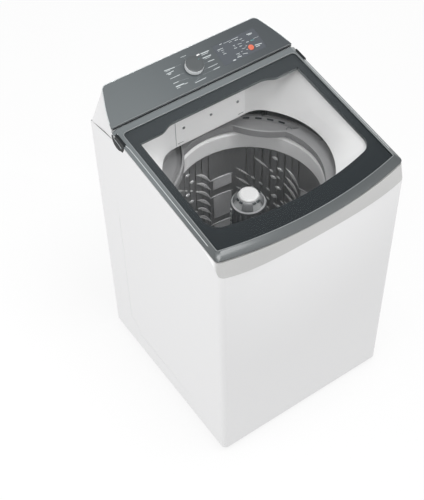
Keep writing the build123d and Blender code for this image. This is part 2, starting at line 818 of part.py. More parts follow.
def housing_block(inset):
    top = console_axes * (Pos(0, 0, -panel_thickness) * console_outline(inset))
    return loft([housing_base(inset), top], ruled=True)


def console_housing(edge):
    shell = (housing_block(0) - housing_block(plastic)) & edge
    shell -= rod_y(valve_x, valve_height, valve_back - 5, back_reach, port_radius + port_collar + 0.5)
    return shell - rod_y(valve_x, valve_height, console_front - 5, console_front + 7, pipe_outer + 1)


def board_posts():
    posts = Part()
    for x in board_post_places:
        for back in (20.0, 100.0):
            posts += post(x, back, -board_drop, -panel_thickness, 4)
    return posts


def display_pocket(gap, depth):
    width, height = display_size
    return Pos(display_x, display_back, -depth / 2) * Box(width + 2 * gap, height + 2 * gap, depth)


def console_panel():
    plate = Pos(0, 0, -panel_thickness) * extrude(console_outline(0), panel_thickness)
    plate += board_posts()
    plate -= post(dial_x, dial_back, -10, 5, 4)
    plate -= display_pocket(0.1, 1.5)
    plate -= post(button_x, button_back, -10, 5, button_radius + clear)
    return console_axes * plate


def display_window():
    pane = display_pocket(0, 1.5)
    return console_axes * (pane - post(button_x, button_back, -10, 5, button_radius + clear))


def control_board():
    low = -board_drop - board_thickness
    board = block(board_post_places[0] - 10, board_post_places[-1] + 12, 12, 108, low, -board_drop)
    switch_top = -panel_thickness - 3.3 - button_travel - button_stroke_gap
    switch = post(button_x, button_back, -board_drop, switch_top, 5)
    chip = block(120, 150, 40, 70, low - 3, low)
    relays = block(-40, -20, 80, 96, low - 14.4, low) + block(0, 20, 80, 96, low - 14.4, low)
    return console_axes * (board + switch + chip + relays)


def dial_encoder():
    body = block(dial_x - 14, dial_x + 14, dial_back - 14, dial_back + 14, -board_drop, -panel_thickness - 3)
    body -= post(dial_x, dial_back, -board_drop + 3, 0, 3 + running)
    return console_axes * body


def programme_dial():
    knob = lathe([
        (0, 0.4), (dial_radius, 0.4), (dial_radius, dial_height - 2), (dial_radius - 2, dial_height),
        (0, dial_height)], dial_x, dial_back)
    pointer = block(dial_x - 0.8, dial_x + 0.8, dial_back + 17, dial_back + 26, dial_height - 0.4, dial_height + 1)
    shaft = post(dial_x, dial_back, -board_drop + 4, 1, 3)
    return console_axes * (knob - pointer + shaft)


def start_button():
    head = post(button_x, button_back, -panel_thickness - 1, 1.6, button_radius)
    head = fillet(head.edges().group_by(Axis.Z)[-1], 0.8)
    flange = post(button_x, button_back, -panel_thickness - 3.3, -panel_thickness - clear, button_radius + 2.5)
    return console_axes * (head + flange)


def pressure_switch():
    back = half_depth - plastic - 0.6
    body = rod_y(drain_x, valve_height, back - 24, back, 22)
    return body + post(drain_x, back - 12, valve_height - 30, valve_height - 20, 4)


# ---- tub and what hangs under it ----------------------------------------

def outer_tub():
    low = tub_floor - tub_floor_thickness
    tub = lathe([
        (bearing_radius, boss_bottom), (boss_radius, boss_bottom), (boss_radius, low), (tub_outer, low),
        (tub_outer, ring_bottom - 7), (ring_outer - 2, ring_bottom - 7), (ring_outer - 2, ring_bottom),
        (tub_outer - tub_wall, ring_bottom), (tub_outer - tub_wall, tub_floor), (bearing_radius, tub_floor)],
        0, axis_y)
    for angle in range(0, 360, 45):
        tub += Pos(0, axis_y, 0) * Rot(0, 0, angle) * block(boss_radius - 1, tub_outer - 2, -2, 2, low - 14, low)
    tub -= post(pump_x, pump_y, low - 20, low, pump_radius + 1)
    tub -= post(pump_x, pump_y, low - 1, tub_floor + 1, 10)
    for x, y in bracket_posts():
        tub += post(x, y, bracket_bottom + bracket_thickness, low, 9)
    top, half = lug_bottom + lug_thickness, lug_half_width
    for x, y in rod_places():
        reach = hypot(x, y - axis_y)
        lug = block(tub_outer - 2, reach + half, -half, half, lug_bottom, top)
        lug += block(tub_outer - 2, reach - half - 6, -3, 3, top, top + 48)
        lug -= post(reach, 0, lug_bottom - 1, top + 18, sleeve_neck + 0.1)
        tub += Pos(0, axis_y, 0) * Rot(0, 0, degrees(atan2(y - axis_y, x))) * lug
    return tub


def bracket_posts():
    return [(x, axis_y + side * 55) for x in (-70.0, 90.0, motor_x + 65.0) for side in (-1, 1)]


def lobe_arc_radius(inner, half_angle, rim_radius):
    """Radius of the arc through a pocket's two ends and its innermost point."""
    half_chord = rim_radius * sin(radians(half_angle))
    rise = rim_radius * cos(radians(half_angle)) - inner
    return (half_chord**2 + rise**2) / (2 * rise)


def lobe_post(inner, low, high):
    radius = lobe_arc_radius(lobe_inner, lobe_half_angle, ring_inner)
    return post(inner + radius, 0, low, high, radius)


def tub_ring():
    """The ring on top of the tub, with two lens shaped pockets that reach in over the basket."""
    body = tube(0, 0, ring_bottom, ring_top, ring_outer, ring_inner)
    disc = post(0, 0, ring_bottom, ring_top, ring_inner + 2)
    for angle in lobe_angles:
        body += disc & (Rot(0, 0, angle) * lobe_post(lobe_inner, ring_bottom, ring_top))
    hollow = post(0, 0, ring_top - pocket_depth, ring_top + 1, pocket_outer)
    for angle in lobe_angles:
        body -= hollow & (Rot(0, 0, angle) * lobe_post(lobe_inner + pocket_rim, ring_top - pocket_depth, ring_top + 1))
    for angle in slot_angles:
        slot = block(pocket_outer - 2, pocket_outer + 7, -9, 9, ring_top - 8, ring_top - 4)
        body -= Rot(0, 0, angle) * slot
        body -= Rot(0, 0, 180 - angle) * slot
    return Pos(0, axis_y, 0) * body


def tub_ring_screws():
    screws = Part()
    for step in range(8):
        x, y = on_axis(ring_outer - 5.5, 22.5 * (2 * step + 1) - 22.5)
        screws += post(x, y, ring_top, ring_top + 3, 4)
    return screws


def damper_sleeves():
    sleeves = Part()
    for x, y in rod_places():
        sleeves += tube(x, y, sleeve_bottom, lug_bottom, sleeve_radius, rod_radius + running)
        sleeves += tube(x, y, lug_bottom, lug_bottom + lug_thickness + 4, sleeve_neck, rod_radius + running)
    return sleeves


def bearing(low):
    return tube(0, axis_y, low, low + bearing_width, bearing_radius, spin_tube_radius + running)


def tub_bearings():
    return bearing(boss_bottom + 2) + bearing(tub_floor - 14 - bearing_width)


def shaft_seal():
    return tube(0, axis_y, tub_floor - 12, tub_floor - 2, bearing_radius, spin_tube_radius + running)


def mechanism_bracket():
    low, high = bracket_bottom, bracket_bottom + bracket_thickness
    plate = block(-84, motor_x + 80, axis_y - 68, axis_y + 68, low, high)
    plate -= post(0, axis_y, low - 1, high + 1, boss_radius)
    return plate - post(motor_x, axis_y, low - 1, high + 1, motor_shaft_radius + 3)


def gearcase():
    wall, neck = 4.0, wash_shaft_radius + 4
    case = lathe([
        (20, boss_bottom), (gearcase_radius, boss_bottom), (gearcase_radius, gearcase_bottom),
        (neck, gearcase_bottom), (neck, gearcase_bottom + wall), (gearcase_radius - wall, gearcase_bottom + wall),
        (gearcase_radius - wall, boss_bottom - wall), (20, boss_bottom - wall)], 0, axis_y)
    for angle in range(0, 360, 60):
        rib = block(boss_radius + 0.2, gearcase_radius - 6, -2.5, 2.5, boss_bottom, bracket_bottom)
        case += Pos(0, axis_y, 0) * Rot(0, 0, angle) * rib
    return case


def motor_housing():
    can = lathe([
        (motor_shaft_radius + running, motor_bottom), (motor_radius, motor_bottom), (motor_radius, bracket_bottom),
        (motor_shaft_radius + running, bracket_bottom), (motor_shaft_radius + running, bracket_bottom - 6),
        (46, bracket_bottom - 6), (46, motor_bottom + 8), (motor_shaft_radius + running, motor_bottom + 8)],
        motor_x, axis_y)
    for angle in range(0, 360, 30):
        fin = block(motor_radius - 1, motor_radius + 3, -1.5, 1.5, motor_bottom + 6, bracket_bottom - 8)
        can += Pos(motor_x, axis_y, 0) * Rot(0, 0, angle) * fin
    return can


def pulley(x, groove_radius, bore, face):
    """A belt wheel with a square groove."""
    rim = groove_radius + groove_depth
    low, high = pulley_bottom, pulley_bottom + pulley_width
    mid = (low + high) / 2
    half = belt_width / 2 + 0.6
    return lathe([
        (bore, low), (rim, low), (rim, mid - half), (groove_radius, mid - half), (groove_radius, mid + half),
        (rim, mid + half), (rim, high), (bore, high)], x, face)


def drive_pulley():
    wheel = pulley(0, big_groove_radius, wash_shaft_radius, axis_y)
    for angle in range(30, 390, 60):
        hole = post(42, 0, pulley_bottom - 1, pulley_bottom + pulley_width + 1, 14)
        wheel -= Pos(0, axis_y, 0) * Rot(0, 0, angle) * hole
    return wheel


def motor_rotor():
    """The rotor and its shaft, with the small pulley pressed on the shaft's end."""
    rotor = post(motor_x, axis_y, motor_bottom + 14, bracket_bottom - 12, 45)
    shaft = post(motor_x, axis_y, pulley_bottom - 4, bracket_bottom - 2, motor_shaft_radius)
    return rotor + shaft + pulley(motor_x, small_groove_radius, motor_shaft_radius - 1, axis_y)


def belt_loop(big, small):
    """The outline of a belt round the two pulleys."""
    lean = degrees(acos((big - small) / motor_x))
    at = lambda x, radius, angle: (x + radius * cos(radians(angle)), axis_y + radius * sin(radians(angle)))
    return make_face(
        Line(at(0, big, lean), at(motor_x, small, lean))
        + ThreePointArc(at(motor_x, small, lean), at(motor_x, small, 0), at(motor_x, small, -lean))
        + Line(at(motor_x, small, -lean), at(0, big, -lean))
        + ThreePointArc(at(0, big, -lean), at(0, big, 180), at(0, big, lean)))


def drive_belt():
    low = pulley_bottom + (pulley_width - belt_width) / 2
    inner = belt_loop(big_groove_radius + clear, small_groove_radius + clear)
    outer = belt_loop(
        big_groove_radius + clear + belt_thickness, small_groove_radius + clear + belt_thickness)
    return Pos(0, 0, low) * extrude(outer - inner, belt_width)


def drain_pump():
    case = post(pump_x, pump_y, pump_bottom, pump_top, pump_radius)
    case -= post(pump_x, pump_y, pump_bottom + 6, pump_top - 6, pump_radius - 6)
    case += tube(pump_x, pump_y, pump_top - 1, tub_floor - tub_floor_thickness, 14, 10)
    case -= post(pump_x, pump_y, pump_top - 10, pump_top + 10, 10)
    case += post(pump_x, pump_y, 130, pump_bottom, 30) - post(pump_x, pump_y, 150, pump_bottom + 7, 3 + running)
    case -= post(pump_x, pump_y, pump_bottom - 1, pump_bottom + 7, 3 + running)
    z = pump_bottom + 20
    outlet = rod_y(pump_x, z, pump_y + pump_radius - 4, pump_y + pump_radius + 26, 11)
    outlet -= rod_y(pump_x, z, pump_y + pump_radius - 10, pump_y + pump_radius + 30, 8.5)
    case -= rod_y(pump_x, z, pump_y + pump_radius - 10, pump_y + pump_radius + 5, 8.5)
    return case + outlet


def pump_impeller():
    wheel = post(pump_x, pump_y, pump_bottom + 8, pump_bottom + 11, 30) + post(
        pump_x, pump_y, 152, pump_bottom + 22, 3)
    wheel += post(pump_x, pump_y, pump_bottom + 11, pump_bottom + 22, 8)
    for angle in range(0, 360, 60):
        vane = block(7, 30, -1.5, 1.5, pump_bottom + 11, pump_bottom + 22)
        wheel += Pos(pump_x, pump_y, 0) * Rot(0, 0, angle) * vane
    return wheel


# ---- basket -------------------------------------------------------------

def basket_drum():
    low = basket_floor - basket_base_thickness
    return tube(0, axis_y, low, basket_top, basket_outer, basket_outer - basket_sheet)


def basket_base():
    inner = basket_outer - basket_sheet
    low = basket_floor - basket_base_thickness
    base = tube(0, axis_y, low, basket_floor, inner, spin_tube_radius)
    for angle in range(0, 360, 30):
        base += Pos(0, axis_y, 0) * Rot(0, 0, angle) * block(182, 240, -4, 4, basket_floor - 1, basket_floor + 5)
    return base


def balance_ring():
    outer = basket_outer - basket_sheet
    return lathe([
        (balance_inner, balance_bottom), (outer, balance_bottom), (outer, balance_top - 8),
        (outer - 5, balance_top), (balance_inner + 7, balance_top), (balance_inner, balance_top - 7)], 0, axis_y)


def basket_hub():
    low = basket_floor - basket_base_thickness
    hub = lathe([
        (spin_tube_radius, 245), (28, 245), (28, low - 20), (120, low - 12), (120, low), (spin_tube_radius, low)],
        0, axis_y)
    for angle in range(0, 360, 60):
        arm = block(110, basket_outer - basket_sheet - 2, -9, 9, low - 10, low)
        hub += Pos(0, axis_y, 0) * Rot(0, 0, angle) * arm
    return hub


def spin_tube():
    return tube(0, axis_y, 120, basket_floor, spin_tube_radius, wash_shaft_radius + running)


# ---- agitator -----------------------------------------------------------

def agitator():
    """Hollow column that flares into a skirt, with four upright vanes."""
    outside = [
        (agitator_skirt_radius, agitator_bottom), (agitator_skirt_radius, agitator_bottom + 6), (140, 318),
        (100, 346), (column_foot_radius + 8, 390), (column_foot_radius, 440),
        (column_top_radius + 2, 560), (column_top_radius, column_top)]
    inside = [(r - agitator_wall, z) for r, z in reversed(outside[1:])]
    body = lathe(outside + inside + [(agitator_skirt_radius - agitator_wall - 4, agitator_bottom)], 0, axis_y)
    body += tube(0, axis_y, agitator_bottom + 2, wash_shaft_top, wash_shaft_radius + 8, wash_shaft_radius)
    body += tube(0, axis_y, wash_shaft_top - 12, wash_shaft_top - 8, 100, wash_shaft_radius + 7)
    core = post(0, axis_y, 0, column_top + 1, column_top_radius - 2)
    for step in range(vane_count):
        vane = make_face(Polyline(
            (column_top_radius - 3, 320), (vane_reach, 312), (vane_reach - 6, 350), (88, 430),
            (column_top_radius + 6, vane_top), (column_top_radius - 3, vane_top), close=True))
        blade = Pos(0, vane_thickness / 2, 0) * extrude(Plane.XZ * vane, vane_thickness)
        body += (Pos(0, axis_y, 0) * Rot(0, 0, 45 + step * 360 / vane_count) * blade) - core
    return body


def agitator_collar():
    mouth = cap_plug_radius + clear
    return lathe([
        (collar_foot_radius - 12, column_top), (column_top_radius, column_top), (column_top_radius, column_top + 2),
        (collar_foot_radius, column_top + 2), (collar_top_radius, collar_top), (mouth, collar_top),
        (mouth, collar_top - 3), (collar_top_radius - 3, collar_top - 3), (collar_foot_radius - 4, column_top + 3),
        (collar_foot_radius - 12, column_top + 3)], 0, axis_y)


def softener_cap():
    return lathe([
        (0, collar_top - 9), (cap_plug_radius, collar_top - 9), (cap_plug_radius, collar_top + 0.1),
        (cap_radius, collar_top + 0.1),
        (cap_radius, cap_top - 6), (cap_radius - 3, cap_top - 2.5), (cap_radius - 9, cap_top), (0, cap_top)],
        0, axis_y)


def wash_shaft():
    shaft = post(0, axis_y, pulley_bottom - 4, wash_shaft_top, wash_shaft_radius)
    return shaft + post(0, axis_y, wash_shaft_top, wash_shaft_top + 6, wash_shaft_radius + 4)


# ---- services -----------------------------------------------------------

def drain_outlet():
    """The flanged spigot for the drain hose, with a barbed end inside."""
    face = half_depth - 2 * sheet
    pipe = rod_y(drain_x, drain_height, face - 3, back_reach, drain_radius)
    pipe += rod_y(drain_x, drain_height, face - 40, face - 3, drain_radius + drain_barb)
    flange = rod_y(drain_x, drain_height, face - 3, face, drain_radius + 10)
    flange += rod_y(drain_x, drain_height, face, face + 4, drain_radius + port_collar)
    return pipe + flange - rod_y(drain_x, drain_height, face - 50, back_reach + 5, drain_radius - 2.5)


def cable_gland():
    face = half_depth - sheet
    gland = rod_y(gland_x, gland_height, face - 8, face + 14, gland_radius)
    gland += rod_y(gland_x, gland_height, face, face + 3, gland_radius + 4)
    return gland - rod_y(gland_x, gland_height, face - 9, face + 20, 3.6)


# ---- the assembly -------------------------------------------------------

def assembly():
    edge = above_cabinet_edge()
    nodes = {
        "cabinet_wrap": cabinet_wrap(edge), "rear_panel": rear_panel(), "panel_screws": panel_screws(),
        "base_frame": base_frame(), "corner_brackets": corner_brackets(), "suspension_rods": suspension_rods(),
        "suspension_springs": suspension_springs(), "motor_capacitor": motor_capacitor(),
        "top_cover": top_cover(edge), "inner_rear_panel": inner_rear_panel(),
        "water_duct": water_duct(), "inlet_pipe": inlet_pipe(),
        "inlet_valve": inlet_valve(), "drain_outlet": drain_outlet(), "cable_gland": cable_gland(),
        "hinge_covers": hinge_covers(),
        "hinge_brackets": hinge_brackets(), "hinge_pins": hinge_pins(), "lid_bumpers": lid_bumpers(),
        "lid_lock_housing": lid_lock_housing(), "lock_bolt": lock_bolt(),
        "lid_frame": lid_frame(), "lid_glass": lid_glass(), "lid_border": lid_border(), "lid_strike": lid_strike(),
        "console_housing": console_housing(edge), "console_panel": console_panel(),
        "display_window": display_window(), "control_board": control_board(), "dial_encoder": dial_encoder(),
        "programme_dial": programme_dial(), "start_button": start_button(), "pressure_switch": pressure_switch(),
        "outer_tub": outer_tub(), "tub_ring": tub_ring(), "tub_ring_screws": tub_ring_screws(),
        "damper_sleeves": damper_sleeves(), "tub_bearings": tub_bearings(), "shaft_seal": shaft_seal(),
        "mechanism_bracket": mechanism_bracket(), "gearcase": gearcase(), "motor_housing": motor_housing(),
        "drive_belt": drive_belt(), "drain_pump": drain_pump(), "pump_impeller": pump_impeller(),
        "motor_rotor": motor_rotor(),
        "basket_drum": basket_drum(), "basket_base": basket_base(), "balance_ring": balance_ring(),
        "basket_hub": basket_hub(), "spin_tube": spin_tube(),
        "agitator": agitator(), "agitator_collar": agitator_collar(), "wash_shaft": wash_shaft(),
        "drive_pulley": drive_pulley(), "softener_cap": softener_cap(),
    }
    for name, side, end in (("left", -1, -1), ("right", 1, -1)):
        nodes[f"foot_front_{name}"] = foot(side, end)
        nodes[f"foot_rear_{name}"] = foot(side, -end)
    return nodes


def main():
    os.makedirs("parts", exist_ok=True)
    for name, shape in assembly().items():
        export_step(shape, f"parts/{name}.step")


main()
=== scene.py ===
import json
import math

import bmesh
import bpy
from mathutils import Matrix, Vector


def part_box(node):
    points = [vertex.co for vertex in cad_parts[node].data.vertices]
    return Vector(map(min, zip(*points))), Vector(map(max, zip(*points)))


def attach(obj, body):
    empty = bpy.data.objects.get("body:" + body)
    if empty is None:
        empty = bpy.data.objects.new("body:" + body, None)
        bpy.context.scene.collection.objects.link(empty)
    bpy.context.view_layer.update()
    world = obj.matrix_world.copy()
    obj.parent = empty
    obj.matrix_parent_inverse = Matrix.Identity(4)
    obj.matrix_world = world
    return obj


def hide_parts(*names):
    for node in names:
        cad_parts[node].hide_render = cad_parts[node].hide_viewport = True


bl_info = {
    "name": "Top Load Washer",
    "version": (1, 0, 0),
    "blender": (4, 5, 0),
    "location": "View3D > Sidebar > Washer",
    "description": "Finishes the packed model of a top load washing machine and sets up its studio",
    "category": "Object",
}

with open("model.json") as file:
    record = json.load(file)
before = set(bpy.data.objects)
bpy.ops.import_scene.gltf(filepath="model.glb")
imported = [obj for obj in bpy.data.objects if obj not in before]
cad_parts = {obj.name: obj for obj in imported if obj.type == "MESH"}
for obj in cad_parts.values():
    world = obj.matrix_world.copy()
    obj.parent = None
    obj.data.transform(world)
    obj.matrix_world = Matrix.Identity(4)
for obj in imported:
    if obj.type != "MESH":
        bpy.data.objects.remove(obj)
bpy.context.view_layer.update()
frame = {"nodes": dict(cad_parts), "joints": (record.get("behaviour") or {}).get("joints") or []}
nodes = frame["nodes"]

MM = 0.001


# ---- places taken from the frame ----------------------------------------

def joint(name):
    return next(row for row in frame["joints"] if row["name"] == name)


cabinet_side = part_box("cabinet_wrap")[1].x
drum_low, drum_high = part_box("basket_drum")
drum_axis = Vector((0.0, joint("basket_spin")["pos_m"][1], 0.0))
drum_radius = (drum_high.x - drum_low.x) / 2
drum_wall = 1.2 * MM

lid_slope = math.radians(8.157)
lid_origin = Vector((0.0, 0.0, 1.0319))
lid_axes = Matrix.Translation(lid_origin) @ Matrix.Rotation(lid_slope, 4, "X")

dial_axis = Vector(joint("dial_turn")["axis"]).normalized()
dial_place = Vector(joint("dial_turn")["pos_m"])
console_slope = math.atan2(-dial_axis.y, dial_axis.z)
console_origin = Vector((0.0, 0.213, 1.060))
console_axes = Matrix.Translation(console_origin) @ Matrix.Rotation(console_slope, 4, "X")
dial_local = console_axes.inverted() @ dial_place
button_low, button_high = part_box("start_button")


# ---- material building --------------------------------------------------

class Value:
    """A socket of one node tree that takes part in arithmetic."""

    def __init__(self, finish, socket):
        self.finish = finish
        self.socket = socket

    def math(self, operation, first, second):
        return self.finish.add("ShaderNodeMath", {"operation": operation}, {0: first, 1: second})

    def __add__(self, other):
        return self.math("ADD", self, other)

    def __mul__(self, other):
        return self.math("MULTIPLY", self, other)

    def __rsub__(self, other):
        return self.math("SUBTRACT", other, self)

    __radd__ = __add__
    __rmul__ = __mul__

    def above(self, edge, soft):
        """0 below an edge and 1 above it, with a soft step."""
        return self.finish.add(
            "ShaderNodeMapRange", {"interpolation_type": "SMOOTHSTEP"},
            {"Value": self, "From Min": edge - soft, "From Max": edge + soft})


class Finish:
    """A material with one Principled shader, built node by node."""

    def __init__(self, name, **constants):
        self.material = bpy.data.materials.new(name)
        self.material.use_nodes = True
        self.tree = self.material.node_tree
        self.shader = self.tree.nodes["Principled BSDF"]
        for socket, value in constants.items():
            self.shader.inputs[socket.replace("_", " ")].default_value = value

    def add(self, kind, settings=None, values=None, output=0):
        node = self.tree.nodes.new(kind)
        for key, value in (settings or {}).items():
            if key == "stops":
                self.set_stops(node, value)
            else:
                setattr(node, key, value)
        for key, value in (values or {}).items():
            if isinstance(value, Value):
                self.tree.links.new(value.socket, node.inputs[key])
            else:
                node.inputs[key].default_value = value
        return Value(self, node.outputs[output])

    def set_stops(self, node, stops):
        ramp = node.color_ramp
        while len(ramp.elements) < len(stops):
            ramp.elements.new(0.5)
        for element, (place, colour) in zip(ramp.elements, stops):
            element.position = place
            element.color = (*colour, 1.0)

    def link(self, **values):
        for socket, value in values.items():
            self.tree.links.new(value.socket, self.shader.inputs[socket.replace("_", " ")])
        return self

    def place(self, scale=(1.0, 1.0, 1.0)):
        """The object's own coordinates, in metres, stretched for streaked patterns."""
        coordinates = self.add("ShaderNodeTexCoord", output="Object")
        return self.add("ShaderNodeMapping", {}, {"Vector": coordinates, "Scale": scale})

    def along(self, axis):
        """One of the object's own coordinates."""
        return self.add("ShaderNodeSeparateXYZ", {}, {"Vector": self.place()}, output=axis)

    def noise(self, scale, detail=2.0, stretch=(1.0, 1.0, 1.0)):
        return self.add("ShaderNodeTexNoise", {}, {
            "Vector": self.place(stretch), "Scale": scale, "Detail": detail, "Roughness": 0.6})

    def blend(self, factor, first, second):
        mix = self.tree.nodes.new("ShaderNodeMix")
        mix.data_type = "RGBA"
        self.tree.links.new(factor.socket, mix.inputs["Factor"])
        for socket, colour in ((mix.inputs[6], first), (mix.inputs[7], second)):
            if isinstance(colour, Value):
                self.tree.links.new(colour.socket, socket)
            else:
                socket.default_value = (*colour, 1.0)
        return Value(self, mix.outputs[2])

    def bump(self, height, strength, distance):
        return self.add(
            "ShaderNodeBump", {}, {"Strength": strength, "Distance": distance, "Height": height})


# Scales of the noises, and the depth of the fine ones in metres.
CLOUDS, FLAKES, GRAIN_DEPTH, FLAKE_DEPTH = 9.0, 2600.0, 0.0002, 0.0001


def shade(colour, amount):
    return tuple(min(1.0, channel * amount) for channel in colour)


def grained(name, colour, rough, grain, depth, uneven, **constants):
    """Moulded plastic or paint: a little uneven in colour and gloss, with a fine surface grain."""
    finish = Finish(name, **constants)
    clouds = finish.noise(CLOUDS)
    fine = finish.noise(grain, 3.0)
    finish.link(
        Base_Color=finish.blend(clouds, shade(colour, 1 - uneven), shade(colour, 1 + uneven)),
        Roughness=clouds * 0.1 + (rough - 0.05) + fine * 0.04,
        Normal=finish.bump(fine, depth, GRAIN_DEPTH))
    return finish.material


def steel(name, colour, rough, stretch, depth, metallic):
    """Sheet or turned steel with streaks along one direction."""
    finish = Finish(name, Metallic=metallic)
    streaks = finish.noise(260.0, 4.0, stretch)
    clouds = finish.noise(14.0)
    finish.link(
        Base_Color=finish.blend(streaks, shade(colour, 0.82), shade(colour, 1.15)),
        Roughness=streaks * 0.14 + clouds * 0.08 + (rough - 0.1),
        Normal=finish.bump(streaks, depth, GRAIN_DEPTH))
    return finish.material


# Colour, roughness, scale and depth of the grain, unevenness, and what else the shader is given.
GRAINED = {
    "balance_moulding": ((0.95, 0.95, 0.95), 0.34, 1100.0, 0.08, 0.02, {}),
    "frame_moulding": ((0.50, 0.50, 0.50), 0.5, 900.0, 0.12, 0.06, {}),
    "tub_moulding": ((0.62, 0.62, 0.60), 0.6, 400.0, 0.3, 0.05, {}),
    # Painted highlights: bright lines that stand for glints along the edges of the lid, glass, hinge leaves
    # and console.
    "painted_highlight_bright": ((0.62, 0.65, 0.66), 0.28, 1500.0, 0.05, 0.04, {"Metallic": 0.4}),
    "painted_highlight_dim": ((0.24, 0.255, 0.26), 0.38, 1500.0, 0.05, 0.04, {"Metallic": 0.2}),
    "seam_shadow": ((0.035, 0.042, 0.046), 0.5, 900.0, 0.12, 0.06, {}),
    "dial_side": ((0.86, 0.88, 0.89), 0.26, 1500.0, 0.04, 0.03, {"Metallic": 0.25}),
    "dial_top": ((0.080, 0.088, 0.091), 0.40, 1500.0, 0.05, 0.03, {"Specular_IOR_Level": 0.35}),
    "marking": ((0.52, 0.56, 0.57), 0.4, 1500.0, 0.02, 0.05, {}),
    "faint_marking": ((0.26, 0.29, 0.30), 0.4, 1500.0, 0.02, 0.05, {}),
    "teal_marking": ((0.10, 0.26, 0.26), 0.4, 1500.0, 0.02, 0.05, {}),
    "button_orange": ((0.66, 0.150, 0.085), 0.26, 1500.0, 0.03, 0.04, {"Coat_Weight": 0.3}),
    "cap_white": ((0.80, 0.80, 0.80), 0.25, 1200.0, 0.04, 0.01, {"Coat_Weight": 0.2}),
    "collar_light": ((0.48, 0.49, 0.495), 0.38, 1200.0, 0.06, 0.02, {}),
    "agitator_dark": ((0.15, 0.155, 0.162), 0.34, 900.0, 0.12, 0.08, {}),
    "agitator_grey": ((0.20, 0.205, 0.21), 0.40, 900.0, 0.12, 0.06, {}),
    "dark_moulding": ((0.026, 0.034, 0.036), 0.42, 800.0, 0.15, 0.1, {}),
    "leaf_moulding": ((0.009, 0.012, 0.013), 0.5, 800.0, 0.1, 0.05, {"Specular_IOR_Level": 0.25}),
    "screw_grey": ((0.55, 0.55, 0.55), 0.35, 1100.0, 0.05, 0.03, {}),
    "foot_moulding": ((0.46, 0.46, 0.46), 0.5, 900.0, 0.12, 0.06, {}),
    "black_rubber": ((0.018, 0.018, 0.019), 0.75, 500.0, 0.35, 0.15, {}),
    "board_green": ((0.015, 0.09, 0.035), 0.35, 300.0, 0.2, 0.2, {}),
}

# Colour, roughness, stretch of the streaks along X, Y and Z, depth of the streaks, and metallic.
STEELS = {
    "drum_steel": ((0.44, 0.44, 0.445), 0.42, (1.0, 1.0, 0.2), 0.1, 0.55),
    # Painted glints: the pressed fins and bars get a far brighter steel than the wall.
    "drum_painted_glint": ((0.95, 0.95, 0.95), 0.28, (1.0, 1.0, 0.5), 0.05, 0.3),
    # Painted reflection: the channel's plates get a pale steel for the bright surroundings that they
    # mirror.
    "drum_plate_painted_reflection": ((0.80, 0.80, 0.81), 0.36, (1.0, 1.0, 0.3), 0.03, 0.2),
    "turned_steel": ((0.50, 0.50, 0.51), 0.3, (0.05, 0.05, 1.0), 0.25, 1.0),
    "oiled_spring": ((0.16, 0.16, 0.17), 0.42, (1.0, 1.0, 1.0), 0.25, 1.0),
}

materials = {}


def finish_named(name):
    if not materials:
        make_materials()
    return materials[name]


def make_materials():
    look = bpy.context.scene.washer_look
    liner = tuple(look.moulding_colour)
    lacquer = tuple(look.lid_colour)
    for name, (tone, rough, grain, depth, uneven, others) in GRAINED.items():
        materials[name] = grained(name, tone, rough, grain, depth, uneven, **others)
    for name, row in STEELS.items():
        materials[name] = steel(name, *row)
    materials.update({
        "white_enamel": grained(
            "white_enamel", tuple(look.cabinet_colour), 0.32, 700.0, 0.06, 0.008, Coat_Weight=0.15),
        "white_moulding": cover_material(liner, tuple(look.band_grey_and_shade)),
        "liner_plate": grained("liner_plate", liner, 0.42, 1200.0, 0.1, 0.01),
        "ring_moulding": grained("ring_moulding", tuple(look.ring_colour), 0.38, 1100.0, 0.1, 0.03),
        # The lid's front takes a darker copy of its lacquer as painted shade.
        "lid_lacquer": lacquer_material(lacquer, shade(lacquer, 0.36)),
        "console_lacquer": console_material(tuple(look.console_left), tuple(look.console_right)),
        "glass_print": print_material(),
        "clear_glass": glass_material(),
        "display_smoke": display_material(),
        "zinc_sheet": zinc_material(),
        "cast_aluminium": cast_material(),
    })


def cover_material(inside, shaded_band_grey):
    """The top cover: white inside its opening, with painted shade in one corner, and on its outer band a
    grey that is partly its own tone and partly painted shade under the lid.
    """
    finish = Finish("white_moulding")
    depth = finish.along("Y")
    # The outer band is partly its own grey and partly painted shade under the lid's overhang.
    outer = 1 - depth.above(-0.310, 0.012)
    clouds = finish.noise(CLOUDS)
    fine = finish.noise(1200.0, 3.0)
    # Painted shade: the liner darkens towards its back right corner.
    painted_corner_shade = finish.along("X").above(0.14, 0.12) * depth.above(0.09, 0.10) * 0.45
    tint = finish.blend(outer, finish.blend(painted_corner_shade, inside, shade(inside, 0.45)), shaded_band_grey)
    finish.link(
        Base_Color=finish.blend(clouds * 0.06, tint, shade(inside, 0.75)),
        Roughness=clouds * 0.08 + 0.38,
        Normal=finish.bump(fine, 0.1, GRAIN_DEPTH))
    return finish.material


def lacquer_material(light, dark):
    """The lid's metallic grey lacquer, with painted shade that darkens it towards the front."""
    finish = Finish("lid_lacquer", Metallic=0.25, Coat_Weight=0.4, Coat_Roughness=0.12)
    flakes = finish.noise(FLAKES, 1.0)
    # Painted shade: the lacquer blends to its darker copy towards the front.
    body = finish.blend(finish.along("Y").above(-0.13, 0.20), dark, light)
    finish.link(
        Base_Color=finish.blend(flakes * 0.25, body, shade(light, 1.25)),
        Roughness=flakes * 0.12 + 0.30,
        Normal=finish.bump(flakes, 0.05, FLAKE_DEPTH))
    return finish.material


